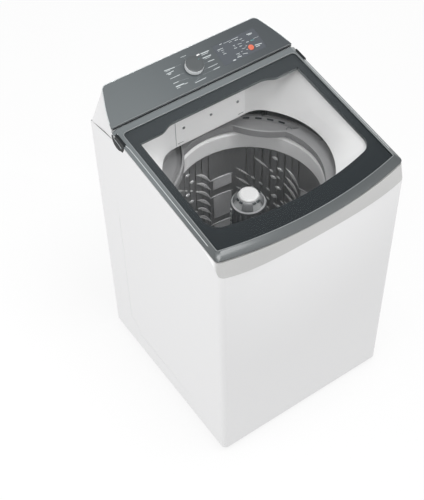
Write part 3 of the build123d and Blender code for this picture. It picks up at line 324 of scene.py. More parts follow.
def console_material(left, right):
    """The console's lacquer: grey at the left, darker and warmer to the right, a painted shade across its
    flat face.
    """
    finish = Finish("console_lacquer", Coat_Weight=0.25, Coat_Roughness=0.2)
    flakes = finish.noise(FLAKES, 1.0)
    # Painted shade: the face darkens from its left end to its right end.
    body = finish.blend(finish.along("X").above(-0.02, 0.30), left, right)
    finish.link(
        Base_Color=finish.blend(flakes * 0.16, body, shade(left, 1.3)),
        Roughness=flakes * 0.12 + 0.34,
        Normal=finish.bump(flakes, 0.05, FLAKE_DEPTH))
    return finish.material


def print_material():
    """The dark band printed under the glass, with painted shade that darkens it towards the front."""
    finish = Finish("glass_print", Specular_IOR_Level=0.15)
    grain = finish.noise(800.0)
    # Painted shade: the print darkens towards the front.
    body = finish.blend(
        finish.along("Y").above(-0.10, 0.25), (0.017, 0.021, 0.024), (0.046, 0.052, 0.056))
    finish.link(
        Base_Color=finish.blend(grain * 0.05, body, (0.046, 0.056, 0.060)),
        Roughness=grain * 0.03 + 0.32)
    return finish.material


def glass_material():
    """The lid's clear glass, a faint dark film with little shine."""
    finish = Finish("clear_glass", Specular_IOR_Level=0.1)
    wipe = finish.noise(5.0, 3.0)
    finish.link(
        Base_Color=finish.blend(wipe, (0.040, 0.050, 0.052), (0.055, 0.066, 0.068)),
        Roughness=wipe * 0.06 + 0.22,
        Alpha=wipe * 0.02 + 0.030)
    return finish.material


def display_material():
    """The smoked display window, a little bluer than the console around it."""
    finish = Finish("display_smoke", Coat_Weight=0.2, Coat_Roughness=0.08)
    sheen = finish.noise(12.0)
    fine = finish.noise(1500.0)
    finish.link(
        Base_Color=finish.blend(sheen, (0.066, 0.075, 0.088), (0.078, 0.087, 0.100)),
        Roughness=fine * 0.05 + 0.2)
    return finish.material


def zinc_material():
    """Galvanised sheet with its crystals."""
    finish = Finish("zinc_sheet", Metallic=0.85)
    crystals = finish.add(
        "ShaderNodeTexVoronoi", {"feature": "F1"}, {"Vector": finish.place(), "Scale": 130.0},
        output="Color")
    tone = finish.add("ShaderNodeSeparateColor", {}, {"Color": crystals}, output="Red")
    finish.link(
        Base_Color=finish.blend(tone, (0.36, 0.37, 0.38), (0.50, 0.51, 0.52)),
        Roughness=tone * 0.15 + 0.38)
    return finish.material


def cast_material():
    """Cast aluminium with small pits."""
    finish = Finish("cast_aluminium", Metallic=0.9)
    pits = finish.noise(420.0, 4.0)
    finish.link(
        Base_Color=finish.blend(pits, (0.40, 0.41, 0.42), (0.60, 0.61, 0.62)),
        Roughness=pits * 0.2 + 0.4,
        Normal=finish.bump(pits, 0.5, 0.0006))
    return finish.material


def paint(piece, name):
    piece.data.materials.clear()
    piece.data.materials.append(finish_named(name))


# ---- modelling helpers --------------------------------------------------

def only(piece):
    """Selects one object and makes it the active one."""
    bpy.ops.object.select_all(action="DESELECT")
    piece.select_set(True)
    bpy.context.view_layer.objects.active = piece
    return piece


def settle(piece, name, body, material, replaces=()):
    """Names a finished piece, puts its place in its mesh and joins it to its body."""
    only(piece)
    bpy.ops.object.transform_apply(location=True, rotation=True, scale=True)
    piece.name = name
    piece.data.name = name
    paint(piece, material)
    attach(piece, body)
    if replaces:
        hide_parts(*replaces)
    return piece


def modifier(piece, kind, **settings):
    """Adds a modifier and applies it."""
    only(piece)
    made = piece.modifiers.new(kind.lower(), kind)
    for key, value in settings.items():
        setattr(made, key, value)
    bpy.ops.object.modifier_apply(modifier=made.name)
    return piece


def smooth(piece, angle=32.0):
    """Shades a piece smooth across edges that turn by less than an angle in degrees."""
    only(piece)
    bpy.ops.object.shade_smooth_by_angle(angle=math.radians(angle))
    return piece


def edit_mode(piece, select="SELECT"):
    """Opens a piece for editing with all or none of it selected."""
    only(piece)
    bpy.ops.object.mode_set(mode="EDIT")
    bpy.ops.mesh.select_all(action=select)


def object_mode():
    bpy.ops.object.mode_set(mode="OBJECT")


# Points nearer than this, in metres, become one.
WELD = 0.00001


def soften(node, name, width, segments):
    """A copy of a CAD node, cleaned to plain faces, with its sharp edges rounded."""
    source = nodes[node]
    piece = source.copy()
    piece.data = source.data.copy()
    for key in list(piece.keys()):
        del piece[key]
    bpy.context.scene.collection.objects.link(piece)
    piece.parent = None
    piece.name = name
    only(piece)
    bpy.ops.mesh.customdata_custom_splitnormals_clear()
    edit_mode(piece)
    bpy.ops.mesh.remove_doubles(threshold=WELD)
    bpy.ops.mesh.dissolve_limited(angle_limit=math.radians(0.4))
    bpy.ops.mesh.select_all(action="DESELECT")
    object_mode()
    modifier(piece, "BEVEL", width=width, segments=segments, limit_method="ANGLE",
             angle_limit=math.radians(28.0), miter_outer="MITER_ARC", use_clamp_overlap=True)
    return modifier(smooth(piece, 40.0), "WEIGHTED_NORMAL", keep_sharp=True, weight=60)


def dress(node, name, width, segments, body, material):
    """A softened copy of a CAD node, settled in that node's place."""
    return settle(soften(node, name, width, segments), name, body, material, (node,))


def select_faces(piece, test):
    """Selects the faces whose centre passes a test, and leaves the piece in edit mode."""
    edit_mode(piece, "DESELECT")
    bpy.ops.mesh.select_mode(type="FACE")
    mesh = bmesh.from_edit_mesh(piece.data)
    for face in mesh.faces:
        face.select = test(face.calc_center_median())
    bmesh.update_edit_mesh(piece.data)


def add_bar(size, place, turn=(0.0, 0.0, 0.0), edge=0.0):
    """A small block at its place, with its edges bevelled where a width is given."""
    bpy.ops.mesh.primitive_cube_add(size=1.0, location=place, rotation=turn)
    piece = bpy.context.active_object
    piece.scale = size
    bpy.ops.object.transform_apply(location=False, rotation=False, scale=True)
    if edge:
        modifier(piece, "BEVEL", width=edge, segments=2)
    return piece


def join(pieces):
    """Joins pieces into the first of them."""
    bpy.ops.object.select_all(action="DESELECT")
    for piece in pieces:
        piece.select_set(True)
    bpy.context.view_layer.objects.active = pieces[0]
    bpy.ops.object.join()
    return bpy.context.active_object


def bar_in(axes, size, edge=0.0):
    """A small block laid at the origin of some axes."""
    piece = add_bar(size, (0.0, 0.0, 0.0), edge=edge)
    piece.data.transform(axes)
    return piece


def add_object(name, data):
    piece = bpy.data.objects.new(name, data)
    bpy.context.scene.collection.objects.link(piece)
    return piece


def tube(points, depth, radii, resolution, caps):
    """A round tube that follows points, with a share of its depth as radius at each, as a mesh."""
    curve = bpy.data.curves.new("tube", "CURVE")
    curve.dimensions = "3D"
    curve.bevel_depth = depth
    curve.bevel_resolution = resolution
    curve.use_fill_caps = caps
    line = curve.splines.new("POLY")
    line.points.add(len(points) - 1)
    for point, place, radius in zip(line.points, points, radii):
        point.co = (*place, 1.0)
        point.radius = radius
    only(add_object("tube", curve))
    bpy.ops.object.convert(target="MESH")
    return bpy.context.active_object


def highlight(name, axes, path, radius, body, material):
    """A round bright line that follows points in some axes, a painted highlight along an edge."""
    points = [axes @ Vector(point) for point in path]
    line = tube(points, radius, [1.0] * len(points), 4, True)
    return settle(smooth(line), name, body, material)


def local_points(node, axes):
    """The corners of a CAD node in some axes."""
    inverse = axes.inverted()
    return [inverse @ vertex.co for vertex in nodes[node].data.vertices]


def hull_loop(node, axes):
    """The convex outline of a node's top, which lies at height 0 in some axes, as points there."""
    tolerance = 0.0004
    places = {
        (round(place.x, 5), round(place.y, 5))
        for place in local_points(node, axes) if abs(place.z) < tolerance}
    ordered = sorted(places)

    def chain(points):
        kept = []
        for point in points:
            while len(kept) > 1 and (
                    (kept[-1][0] - kept[-2][0]) * (point[1] - kept[-2][1])
                    - (kept[-1][1] - kept[-2][1]) * (point[0] - kept[-2][0])) <= 0:
                kept.pop()
            kept.append(point)
        return kept[:-1]

    return [(*point, 0.0) for point in chain(ordered) + chain(reversed(ordered))]


def run_of(loop, test):
    """The unbroken run of a closed loop's points that pass a test."""
    count = len(loop)
    start = next(index for index in range(count) if test(loop[index]) and not test(loop[index - 1]))
    turned = loop[start:] + loop[:start]
    end = next(index for index in range(count) if not test(turned[index]))
    return turned[:end]


def lathed(profile, axes, steps):
    """A smooth piece turned about the Z of some axes, from (radius, height) points."""
    mesh = bpy.data.meshes.new("profile")
    edges = [(index, index + 1) for index in range(len(profile) - 1)]
    mesh.from_pydata([(radius, 0.0, height) for radius, height in profile], edges, [])
    piece = add_object("profile", mesh)
    modifier(piece, "SCREW", angle=math.tau, steps=steps, render_steps=steps, use_merge_vertices=True,
             merge_threshold=WELD, use_normal_calculate=True)
    edit_mode(piece)
    bpy.ops.mesh.normals_make_consistent(inside=False)
    object_mode()
    piece.data.transform(axes)
    return smooth(piece, 35)


def leaf(points, radii, flat, out):
    """A pressed bump that tapers along points, flattened along a direction."""
    piece = tube(points, 1.0, radii, 3, False)
    middle = points[len(points) // 2]
    turn = Vector(out).to_track_quat("Z", "Y").to_matrix().to_4x4()
    squeeze = Matrix.Translation(middle) @ turn @ Matrix.Diagonal((1, 1, flat, 1)) @ turn.inverted()
    piece.data.transform(squeeze @ Matrix.Translation(-Vector(middle)))
    only(piece)
    bpy.ops.object.shade_smooth()
    return piece


def faded(count, size, start, reach):
    """Radii of a long bump that rises over its first points and falls again over its last."""
    ends = (min(step, count - 1 - step) for step in range(count))
    return [size * min(1.0, start + step / reach) for step in ends]


def crescent(shares, size, end):
    """Radii of a short bump that is widest in its middle, at shares of its length."""
    return [size * math.sin(math.pi * min(1 - end, max(end, share))) for share in shares]


def sheet(points, columns, levels, thickness):
    """A plate from a grid of points, level by level."""
    starts = [level * (columns + 1) + column for level in range(levels) for column in range(columns)]
    mesh = bpy.data.meshes.new("sheet")
    mesh.from_pydata(points, [], [(a, a + 1, a + columns + 2, a + columns + 1) for a in starts])
    return modifier(add_object("sheet", mesh), "SOLIDIFY", thickness=thickness, offset=0.0)


def round_drum(reach, polar, height):
    """A point round the drum's axis, by its radius, its angle in degrees and its height in metres."""
    angle = math.radians(polar)
    return drum_axis + Vector((reach * math.cos(angle), reach * math.sin(angle), height))


def on_drum(polar, height, reach):
    """A point round the drum's axis, by its angle in degrees, its height in millimetres and its radius."""
    return round_drum(reach, polar, height * MM)


def pressed(path, radii, height, flat=0.5):
    """A bump on the basket's wall, flattened along the line out from the drum's axis at a height."""
    middle = path[len(path) // 2]
    return leaf(path, radii, flat, (middle - on_drum(0, height, 0.0)).normalized())


# ---- settings -----------------------------------------------------------

def colour(name, description, value):
    return bpy.props.FloatVectorProperty(
        name=name, description=description, subtype="COLOR", size=3, min=0.0, max=1.0, default=value)


def length(name, description, value):
    return bpy.props.FloatProperty(
        name=name, description=description, default=value, min=0.0, subtype="DISTANCE", unit="LENGTH")


class WasherLook(bpy.types.PropertyGroup):
    cabinet_colour: colour("Cabinet", "Colour of the enamelled cabinet", (0.765, 0.765, 0.77))
    moulding_colour: colour("Liner", "Colour of the white liner inside the opening", (0.92, 0.92, 0.92))
    # The band's grey is partly its own tone and partly painted shade under the lid.
    band_grey_and_shade: colour("Band", "Colour of the moulded band under the lid", (0.50, 0.50, 0.495))
    ring_colour: colour("Tub ring", "Colour of the ring on the tub", (0.34, 0.34, 0.345))
    lid_colour: colour("Lid", "Colour of the lid's lacquer at the back", (0.150, 0.168, 0.174))
    # The console's darker right end is painted shade.
    console_left: colour("Console left", "Colour of the console at its left end", (0.105, 0.120, 0.125))
    console_right: colour(
        "Console right", "Colour of the console at its right end", (0.040, 0.048, 0.054))
    edge_width: length("Edge", "Radius of the rounded edges of large mouldings", 0.0015)
    # Radius of the bright lines that are painted highlights along edges.
    line_width: length("Trim line", "Radius of the silver trim lines", 0.0016)


class WasherStudio(bpy.types.PropertyGroup):
    camera_place: bpy.props.FloatVectorProperty(
        name="Camera", description="Place of the camera", subtype="XYZ", unit="LENGTH", size=3,
        default=(-1.3552, -1.8479, 3.1892))
    azimuth: bpy.props.FloatProperty(
        name="Azimuth", description="Direction that the camera looks in, from +Y towards +X",
        subtype="ANGLE", unit="ROTATION", default=math.radians(33.50))
    descent: bpy.props.FloatProperty(
        name="Descent", description="Angle that the camera looks down at",
        subtype="ANGLE", unit="ROTATION", default=math.radians(49.556))
    roll: bpy.props.FloatProperty(
        name="Roll", description="Turn of the camera about its own line of sight",
        subtype="ANGLE", unit="ROTATION", default=math.radians(-1.6865))
    focal_length: bpy.props.FloatProperty(
        name="Focal length", description="Focal length in millimetres on a 36 mm sensor",
        default=77.337, min=10.0)
    world_strength: bpy.props.FloatProperty(
        name="Surroundings", description="Strength of the white surroundings", default=0.74, min=0.0)
    key_power: bpy.props.FloatProperty(
        name="Key light", description="Power of the large light over the left",
        subtype="POWER", unit="POWER", default=24.0, min=0.0)
    inner_power: bpy.props.FloatProperty(
        name="Inner light", description="Power of the stronger narrow light into the opening",
        subtype="POWER", unit="POWER", default=230.0, min=0.0)


# ---- finishes of the pieces that keep their own shape -------------------

PLAIN = {
    "zinc_sheet": (
        "rear_panel", "panel_screws", "corner_brackets", "hinge_brackets", "tub_ring_screws",
        "mechanism_bracket", "motor_capacitor", "lock_bolt", "motor_rotor", "tub_bearings"),
    "frame_moulding": ("base_frame",),
    "turned_steel": (
        "suspension_rods", "hinge_pins", "lid_strike", "spin_tube", "wash_shaft", "basket_base"),
    "oiled_spring": ("suspension_springs",),
    "dark_moulding": (
        "lid_lock_housing", "cable_gland", "dial_encoder", "pump_impeller", "drain_pump", "pressure_switch",
        "drain_outlet", "damper_sleeves"),
    "liner_plate": ("inner_rear_panel", "water_duct", "inlet_pipe"),
    "tub_moulding": ("outer_tub", "inlet_valve"),
    "black_rubber": ("lid_bumpers", "shaft_seal", "drive_belt"),
    "cast_aluminium": ("gearcase", "motor_housing", "drive_pulley", "basket_hub"),
    "board_green": ("control_board",),
    "clear_glass": ("lid_glass",),
}


class WASHER_OT_inner_works(bpy.types.Operator):
    """Gives the pieces that keep their own shape their finishes"""
    bl_idname = "washer.inner_works"
    bl_label = "Inner works"

    def execute(self, context):
        for name, members in PLAIN.items():
            for node in members:
                paint(smooth(nodes[node], 35), name)
        return {"FINISHED"}


class WASHER_OT_cabinet(bpy.types.Operator):
    """The enamelled wrap with its folded edges and the long beads pressed into its sides"""
    bl_idname = "washer.cabinet"
    bl_label = "Cabinet"

    def execute(self, context):
        dress("cabinet_wrap", "cabinet_skin", 0.0003, 2, "cabinet", "white_enamel")
        rear, foot, bend = 0.229, 0.096, 0.05
        for sign, name in ((-1, "side_bead_left"), (1, "side_bead_right")):
            side = sign * cabinet_side
            path = [(side, rear, 0.766 - 0.02 * step) for step in range(32)]
            path += [(side, rear - bend * math.sin(turn), foot + bend * math.cos(turn))
                     for turn in (math.radians(angle) for angle in range(0, 91, 10))]
            path += [(side, rear - bend - 0.04 * step, foot) for step in range(1, 10)]
            ridge = leaf(path, faded(len(path), 0.0035, 0.12, 6), 0.22, (sign, 0, 0))
            settle(ridge, name, "cabinet", "white_enamel")
        return {"FINISHED"}


class WASHER_OT_rear(bpy.types.Operator):
    """Stiffening beads and air louvres pressed into the rear panel"""
    bl_idname = "washer.rear"
    bl_label = "Rear pressings"

    def execute(self, context):
        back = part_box("rear_panel")[1].y
        foot, spans = 0.20, 24
        for index, (x, top) in enumerate(((-0.20, 0.84), (0.0, 0.90), (0.20, 0.84))):
            path = [(x, back, foot + (top - foot) * step / spans) for step in range(spans + 1)]
            ridge = leaf(path, faded(len(path), 0.009, 0.15, 3), 0.2, (0, 1, 0))
            settle(ridge, f"rear_bead_{index}", "cabinet", "zinc_sheet")
        size, tilt = (0.11, 0.004, 0.010), (math.radians(-24), 0, 0)
        hoods = [add_bar(size, (0.10, back + 0.001, 0.56 + 0.022 * row), tilt, 0.0012)
                 for row in range(6)]
        settle(join(hoods), "rear_louvres", "cabinet", "zinc_sheet")
        return {"FINISHED"}


# A screw's head, from its middle to its rim: radius and height.
SCREW_HEAD = ((0.0, 0.0012), (0.0012, 0.0012), (0.0018, 0.0022), (0.0044, 0.0018), (0.0052, 0.0))


class WASHER_OT_top_cover(bpy.types.Operator):
    """The moulded top cover with its liner, and the inlet plate's joints, slots, patch and screws"""
    bl_idname = "washer.top_cover"
    bl_label = "Top cover"

    def execute(self, context):
        edge = context.scene.washer_look.edge_width
        dress("top_cover", "top_cover_skin", edge * 0.27, 2, "cabinet", "white_moulding")
        face = 0.1858
        joints = [add_bar((0.0014, 0.0012, 0.112), (x, face, 0.955)) for x in (-0.128, 0.128)]
        slots = [add_bar((0.022, 0.001, 0.0036), (x, face - 0.0001, 0.906)) for x in (-0.113, 0.113)]
        patch = add_bar((0.026, 0.0016, 0.034), (0.088, face, 0.930), edge=0.0007)
        for piece, name, material in (
                (join(joints), "inlet_plate_joints", "faint_marking"),
                (join(slots), "inlet_plate_slots", "seam_shadow"),
                (patch, "inlet_plate_patch", "ring_moulding")):
            settle(piece, name, "cabinet", material)
        towards = Matrix.Rotation(math.radians(90), 4, "X")
        for index, x in enumerate((-0.100, 0.0, 0.100)):
            head = lathed(SCREW_HEAD, Matrix.Translation((x, face + 0.0002, 0.962)) @ towards, 32)
            settle(head, f"inlet_plate_screw_{index}", "cabinet", "screw_grey")
        return {"FINISHED"}


# The painted highlight in the middle of the lid's bevel on one side, in millimetres in the lid's axes.
BEVEL_HIGHLIGHT = (
    (321.5, -270, -4.7), (321.5, -160, -4.7), (321.5, -40, -4.7), (321.5, 80, -4.7), (321.8, 125, -4.9),
    (324.0, 142, -6.4), (325.0, 160, -7.0), (324.4, 178, -6.6), (321.8, 191, -4.9))


class WASHER_OT_lid(bpy.types.Operator):
    """The lid's lacquered frame, with painted highlights along its sides and round the glass"""
    bl_idname = "washer.lid"
    bl_label = "Lid"

    def execute(self, context):
        look = context.scene.washer_look
        dress("lid_frame", "lid_skin", look.edge_width * 0.5, 3, "lid", "lid_lacquer")
        # Bright lines along the lid's bevels, painted highlights.
        for sign, name in ((-1, "lid_highlight_left"), (1, "lid_highlight_right")):
            path = [(sign * x * MM, y * MM, z * MM) for x, y, z in BEVEL_HIGHLIGHT]
            highlight(name, lid_axes, path, look.line_width * 0.65, "lid", "painted_highlight_bright")
        band = soften("lid_border", "glass_band", 0.0001, 1)
        clear_of_glass = Vector((0.0, 0.0, -0.0004))
        band.data.transform(Matrix.Translation(lid_axes.to_3x3() @ clear_of_glass))
        settle(band, "glass_band", "lid", "glass_print", ("lid_border",))
        edge = hull_loop("lid_glass", lid_axes)
        front = -0.2985
        around = run_of(edge, lambda point: point[1] > front)
        along = run_of(edge, lambda point: point[1] <= front)
        # Bright lines round the glass's edge, painted highlights.
        for name, path, share in (
                ("glass_edge_highlight", around, 0.85),
                ("glass_front_highlight", [around[-1], *along, around[0]], 0.7)):
            highlight(name, lid_axes, path, look.line_width * share, "lid", "painted_highlight_dim")
        return {"FINISHED"}


# The painted highlight on a hinge leaf: y and z in millimetres in the lid's axes.
LEAF_HIGHLIGHT = ((201, -18.4), (199, -20.8), (189.4, -24.3), (177.4, -25.4), (165, -26), (155, -29.5))


class WASHER_OT_hinge_covers(bpy.types.Operator):
    """The dark leaves over the hinges, each with a painted highlight along it"""
    bl_idname = "washer.hinge_covers"
    bl_label = "Hinge covers"

    def execute(self, context):
        dress("hinge_covers", "hinge_leaves", 0.0008, 3, "cabinet", "leaf_moulding")
        # A bright line along each leaf, a painted highlight.
        for sign, name in ((-1, "hinge_highlight_left"), (1, "hinge_highlight_right")):
            path = [(sign * 0.3308, y * MM, z * MM) for y, z in LEAF_HIGHLIGHT]
            highlight(name, lid_axes, path, 0.0008, "cabinet", "painted_highlight_bright")
        return {"FINISHED"}


class WASHER_OT_console(bpy.types.Operator):
    """The sloped console: lacquered face, housing, the painted highlights round it and the shadow seam"""
    bl_idname = "washer.console"
    bl_label = "Console"

    def execute(self, context):
        look = context.scene.washer_look
        dress("console_panel", "console_face", look.edge_width * 0.5, 3, "cabinet", "console_lacquer")
        dress("console_housing", "console_shell", look.edge_width * 0.4, 2, "cabinet", "white_enamel")
        # A bright line round the console's face, a painted highlight along its edge.
        outline = [point for point in hull_loop("console_panel", console_axes) if point[1] > 0.004]
        outline.sort(key=lambda point: math.atan2(point[1] + 0.05, point[0]))
        path = [(x, y, -0.0006) for x, y, _ in outline]
        highlight("console_edge_highlight", console_axes, path, look.line_width * 0.8, "cabinet", "painted_highlight_bright")
        # A bright line along the console's front edge, a painted highlight.
        width, spans = 0.644, 12
        path = [(width * (step / spans - 0.5), 0.0012, 0.0002) for step in range(spans + 1)]
        highlight("console_front_highlight", console_axes, path, 0.0009, "cabinet", "painted_highlight_dim")
        seam = bar_in(lid_axes @ Matrix.Translation((0.0, 0.2124, -0.0060)), (0.650, 0.0010, 0.0060))
        settle(seam, "console_seam", "cabinet", "seam_shadow")
        return {"FINISHED"}


# Radius and height in the dial's axes: its skirt, and the shallow dish of its top.
DIAL_SKIRT = (
    (0.0, 0.0006), (0.0262, 0.0006), (0.0270, 0.0012), (0.0272, 0.0030), (0.0284, 0.0034),
    (0.0290, 0.0042), (0.0290, 0.0178), (0.0286, 0.0192), (0.0276, 0.0199), (0.0268, 0.0200),
    (0.0, 0.0200))
DIAL_TOP = (
    (0.0, 0.0196), (0.0281, 0.0196), (0.0284, 0.0203), (0.0276, 0.0208), (0.0180, 0.0205), (0.0, 0.0203))


class WASHER_OT_dial(bpy.types.Operator):
    """The programme dial: a silver skirt, a flush dark top and its pointer"""
    bl_idname = "washer.dial"
    bl_label = "Dial"

    def execute(self, context):
        axes = console_axes @ Matrix.Translation((dial_local.x, dial_local.y, 0.0))
        settle(lathed(DIAL_SKIRT, axes, 96), "dial_skirt", "programme_dial", "dial_side",
               ("programme_dial",))
        settle(lathed(DIAL_TOP, axes, 96), "dial_face", "programme_dial", "dial_top")
        rim = Matrix.Rotation(math.radians(24), 4, "Z") @ Matrix.Translation((0.0222, 0.0, 0.0208))
        pointer = bar_in(axes @ rim, (0.0060, 0.0014, 0.0006), 0.0002)
        settle(pointer, "dial_pointer", "programme_dial", "teal_marking")
        return {"FINISHED"}


# Start x and y, end x and y and width of each printed line, in millimetres on the console's face.
LEGENDS = (
    (-84, 96, -48, 93, 2.4), (-83, 91.5, -66, 91, 1.2), (-84, 83, -58, 84, 2.2),
    (-80, 79, -70, 79, 2.6), (-83, 64, -48, 64, 1.6), (-83, 46, -65, 45.6, 1.8),
    (-82, 33, -54, 32, 3.2), (-54, 29.5, -42, 29.5, 1.6), (-82, 27, -70, 27, 1.4),
    (-22, 18.5, 17.5, 19, 1.8), (49, 97, 78, 96, 3.0), (49, 91.5, 72, 91, 1.6), (46, 81, 76, 80, 3.0),
    (50, 76, 70, 75.5, 1.2), (54, 63.5, 76, 62, 2.2), (42, 44.8, 77, 44.8, 1.5),
    (53, 31.5, 77, 32, 1.8), (-14, 114, 5, 113, 1.4))
LEADERS = (
    (-46, 94, -25, 93, 0.5), (-46, 64, -34, 63, 0.5), (-64, 46, -30, 41.5, 0.5),
    (-22, 22, 0.6, 28, 0.5), (15, 31.8, 51, 31.5, 0.5), (28, 44.8, 42, 45, 0.5),
    (39, 63.8, 52, 63.6, 0.5), (26, 82, 45, 81, 0.5), (-6, 112, -2, 98, 0.5))


def printed(name, marks, material, lift=0.0001, thickness=0.0003):
    """Thin printed bars on the console's face, from their end points, as one piece."""
    bars = []
    for x0, y0, x1, y1, width in marks:
        axes = (console_axes @ Matrix.Translation(((x0 + x1) / 2 * MM, (y0 + y1) / 2 * MM, lift))
                @ Matrix.Rotation(math.atan2(y1 - y0, x1 - x0), 4, "Z"))
        bars.append(bar_in(axes, (math.hypot(x1 - x0, y1 - y0) * MM, width * MM, thickness)))
    settle(join(bars), name, "cabinet", material)


class WASHER_OT_scale_marks(bpy.types.Operator):
    """The plain dashes of the programme scale round the dial, joined to it by faint lines"""
    bl_idname = "washer.scale_marks"
    bl_label = "Scale marks"

    def execute(self, context):
        printed("scale_dashes", LEGENDS, "marking")
        printed("scale_leaders", LEADERS, "faint_marking", 0.00005)
        axes = console_axes @ Matrix.Translation((0.0395, 0.098, 0.0001))
        start = bar_in(axes, (0.011, 0.004, 0.0004), 0.0001)
        settle(start, "scale_start_mark", "cabinet", "cap_white")
        return {"FINISHED"}


# The same for the display: its marks, the symbol at its right and the light under that.
DISPLAY_MARKS = (
    (119, 98.8, 128, 98.6, 2.0), (134, 97.2, 160, 97, 0.9), (163, 97, 188, 96.7, 1.4),
    (151, 92, 161, 92, 1.2), (171, 90, 183, 89.4, 1.6), (102.5, 85, 123, 84, 1.6),
    (111, 78, 122, 77.4, 1.2), (103, 80.5, 108, 80.5, 1.4), (112, 71, 119, 70.6, 1.0),
    (111.6, 64.2, 122.3, 63.9, 1.6), (127, 31.6, 136, 30.6, 3.4), (155, 76, 162, 76, 1.4),
    (154, 66.6, 163.6, 65.4, 1.8), (157, 71, 161, 71, 1.0), (171.5, 74.5, 185.8, 72.8, 1.0),
    (173, 65.3, 182, 64.4, 1.6), (190, 79, 199, 78, 0.9), (175, 54.3, 187, 53.4, 1.0),
    (167, 38.1, 183, 34, 1.6), (148, 46.2, 160, 45.3, 1.4), (145, 35.6, 160, 33.8, 2.4),
    (150, 40.5, 158, 40, 1.2), (187, 86.5, 196, 86, 1.4), (200.5, 68.6, 209, 67.8, 2.0),
    (228, 70, 247, 69.3, 0.9), (219, 47.5, 243, 44, 2.6), (219, 41.5, 233, 40.4, 2.2),
    (186, 46, 192, 45.6, 1.2), (190, 58, 196, 57.6, 1.0), (166, 47.5, 172, 47.2, 1.0))
DISPLAY_SYMBOL = ((217, 92, 236, 89.5, 2.6), (221, 88, 232, 87, 1.6))
DISPLAY_LIGHT = ((216, 68, 228, 65.5, 2.6),)


class WASHER_OT_display(bpy.types.Operator):
    """The smoked display window with its rows of small marks"""
    bl_idname = "washer.display"
    bl_label = "Display"

    def execute(self, context):
        dress("display_window", "display_pane", 0.0003, 2, "cabinet", "display_smoke")
        printed("display_marks", DISPLAY_MARKS, "marking")
        printed("display_symbol", DISPLAY_SYMBOL, "marking")
        printed("display_light", DISPLAY_LIGHT, "teal_marking")
        return {"FINISHED"}


class WASHER_OT_button(bpy.types.Operator):
    """The round start button with its shallow dish"""
    bl_idname = "washer.button"
    bl_label = "Start button"

    def execute(self, context):
        middle = console_axes.inverted() @ ((button_low + button_high) / 2)
        heights = [place.z for place in local_points("start_button", console_axes)]
        low, high, radius = min(heights), max(heights), 0.0095
        profile = [
            (0.0, low), (radius * 0.6, low), (radius, low + 0.001), (radius, high - 0.0010),
            (radius * 0.95, high - 0.0003), (radius * 0.85, high), (radius * 0.45, high - 0.0004),
            (0.0, high - 0.0006)]
        cap = lathed(profile, console_axes @ Matrix.Translation((middle.x, middle.y, 0.0)), 64)
        settle(cap, "start_cap", "start_button", "button_orange", ("start_button",))
        return {"FINISHED"}


# The round recess of the tub ring: radius and height.
RECESS = ((0.0, -0.0004), (0.0062, -0.0004), (0.0070, 0.0006), (0.0086, 0.0010), (0.0096, 0.0))


class WASHER_OT_tub_ring(bpy.types.Operator):
    """The ring on the tub, with its rounded rims and the round recess beside the slots"""
    bl_idname = "washer.tub_ring"
    bl_label = "Tub ring"

    def execute(self, context):
        edge = context.scene.washer_look.edge_width
        dress("tub_ring", "tub_ring_skin", edge * 0.4, 3, "tub", "ring_moulding")
        recess = lathed(RECESS, Matrix.Translation(on_drum(25, 835.2, 0.264)), 40)
        # The recess takes a darker grey than the ring, painted shade in its hollow.
        settle(recess, "ring_recess_shade", "tub", "agitator_grey")
        slots = [add_bar((0.006, 0.021, 0.0055), on_drum(polar, 846, 0.2730), (0, 0, math.radians(polar)))
                 for polar in (55.8, 47.4, 39.3, 31.2)]
        settle(join(slots), "ring_slots", "tub", "seam_shadow")
        return {"FINISHED"}


# The basket's five sectors, in degrees, and the radii that its pressings start from.
SECTOR = 72
FIN_REACH, BAR_REACH, PLATE_REACH, LIP_REACH = 0.2506, 0.2512, 0.2505, 0.2500
# Angle in degrees and height in millimetres at which each row of bars starts.
ROW_STARTS = ((64, 645), (64, 600), (64, 555), (64, 510), (64, 465), (64, 420), (50, 690))
# The shares of a fin's and of a bar's length at which their points lie.
FIN_SHARES = [step / 10 for step in range(11)]
BAR_SHARES = [step / 6 for step in range(7)]


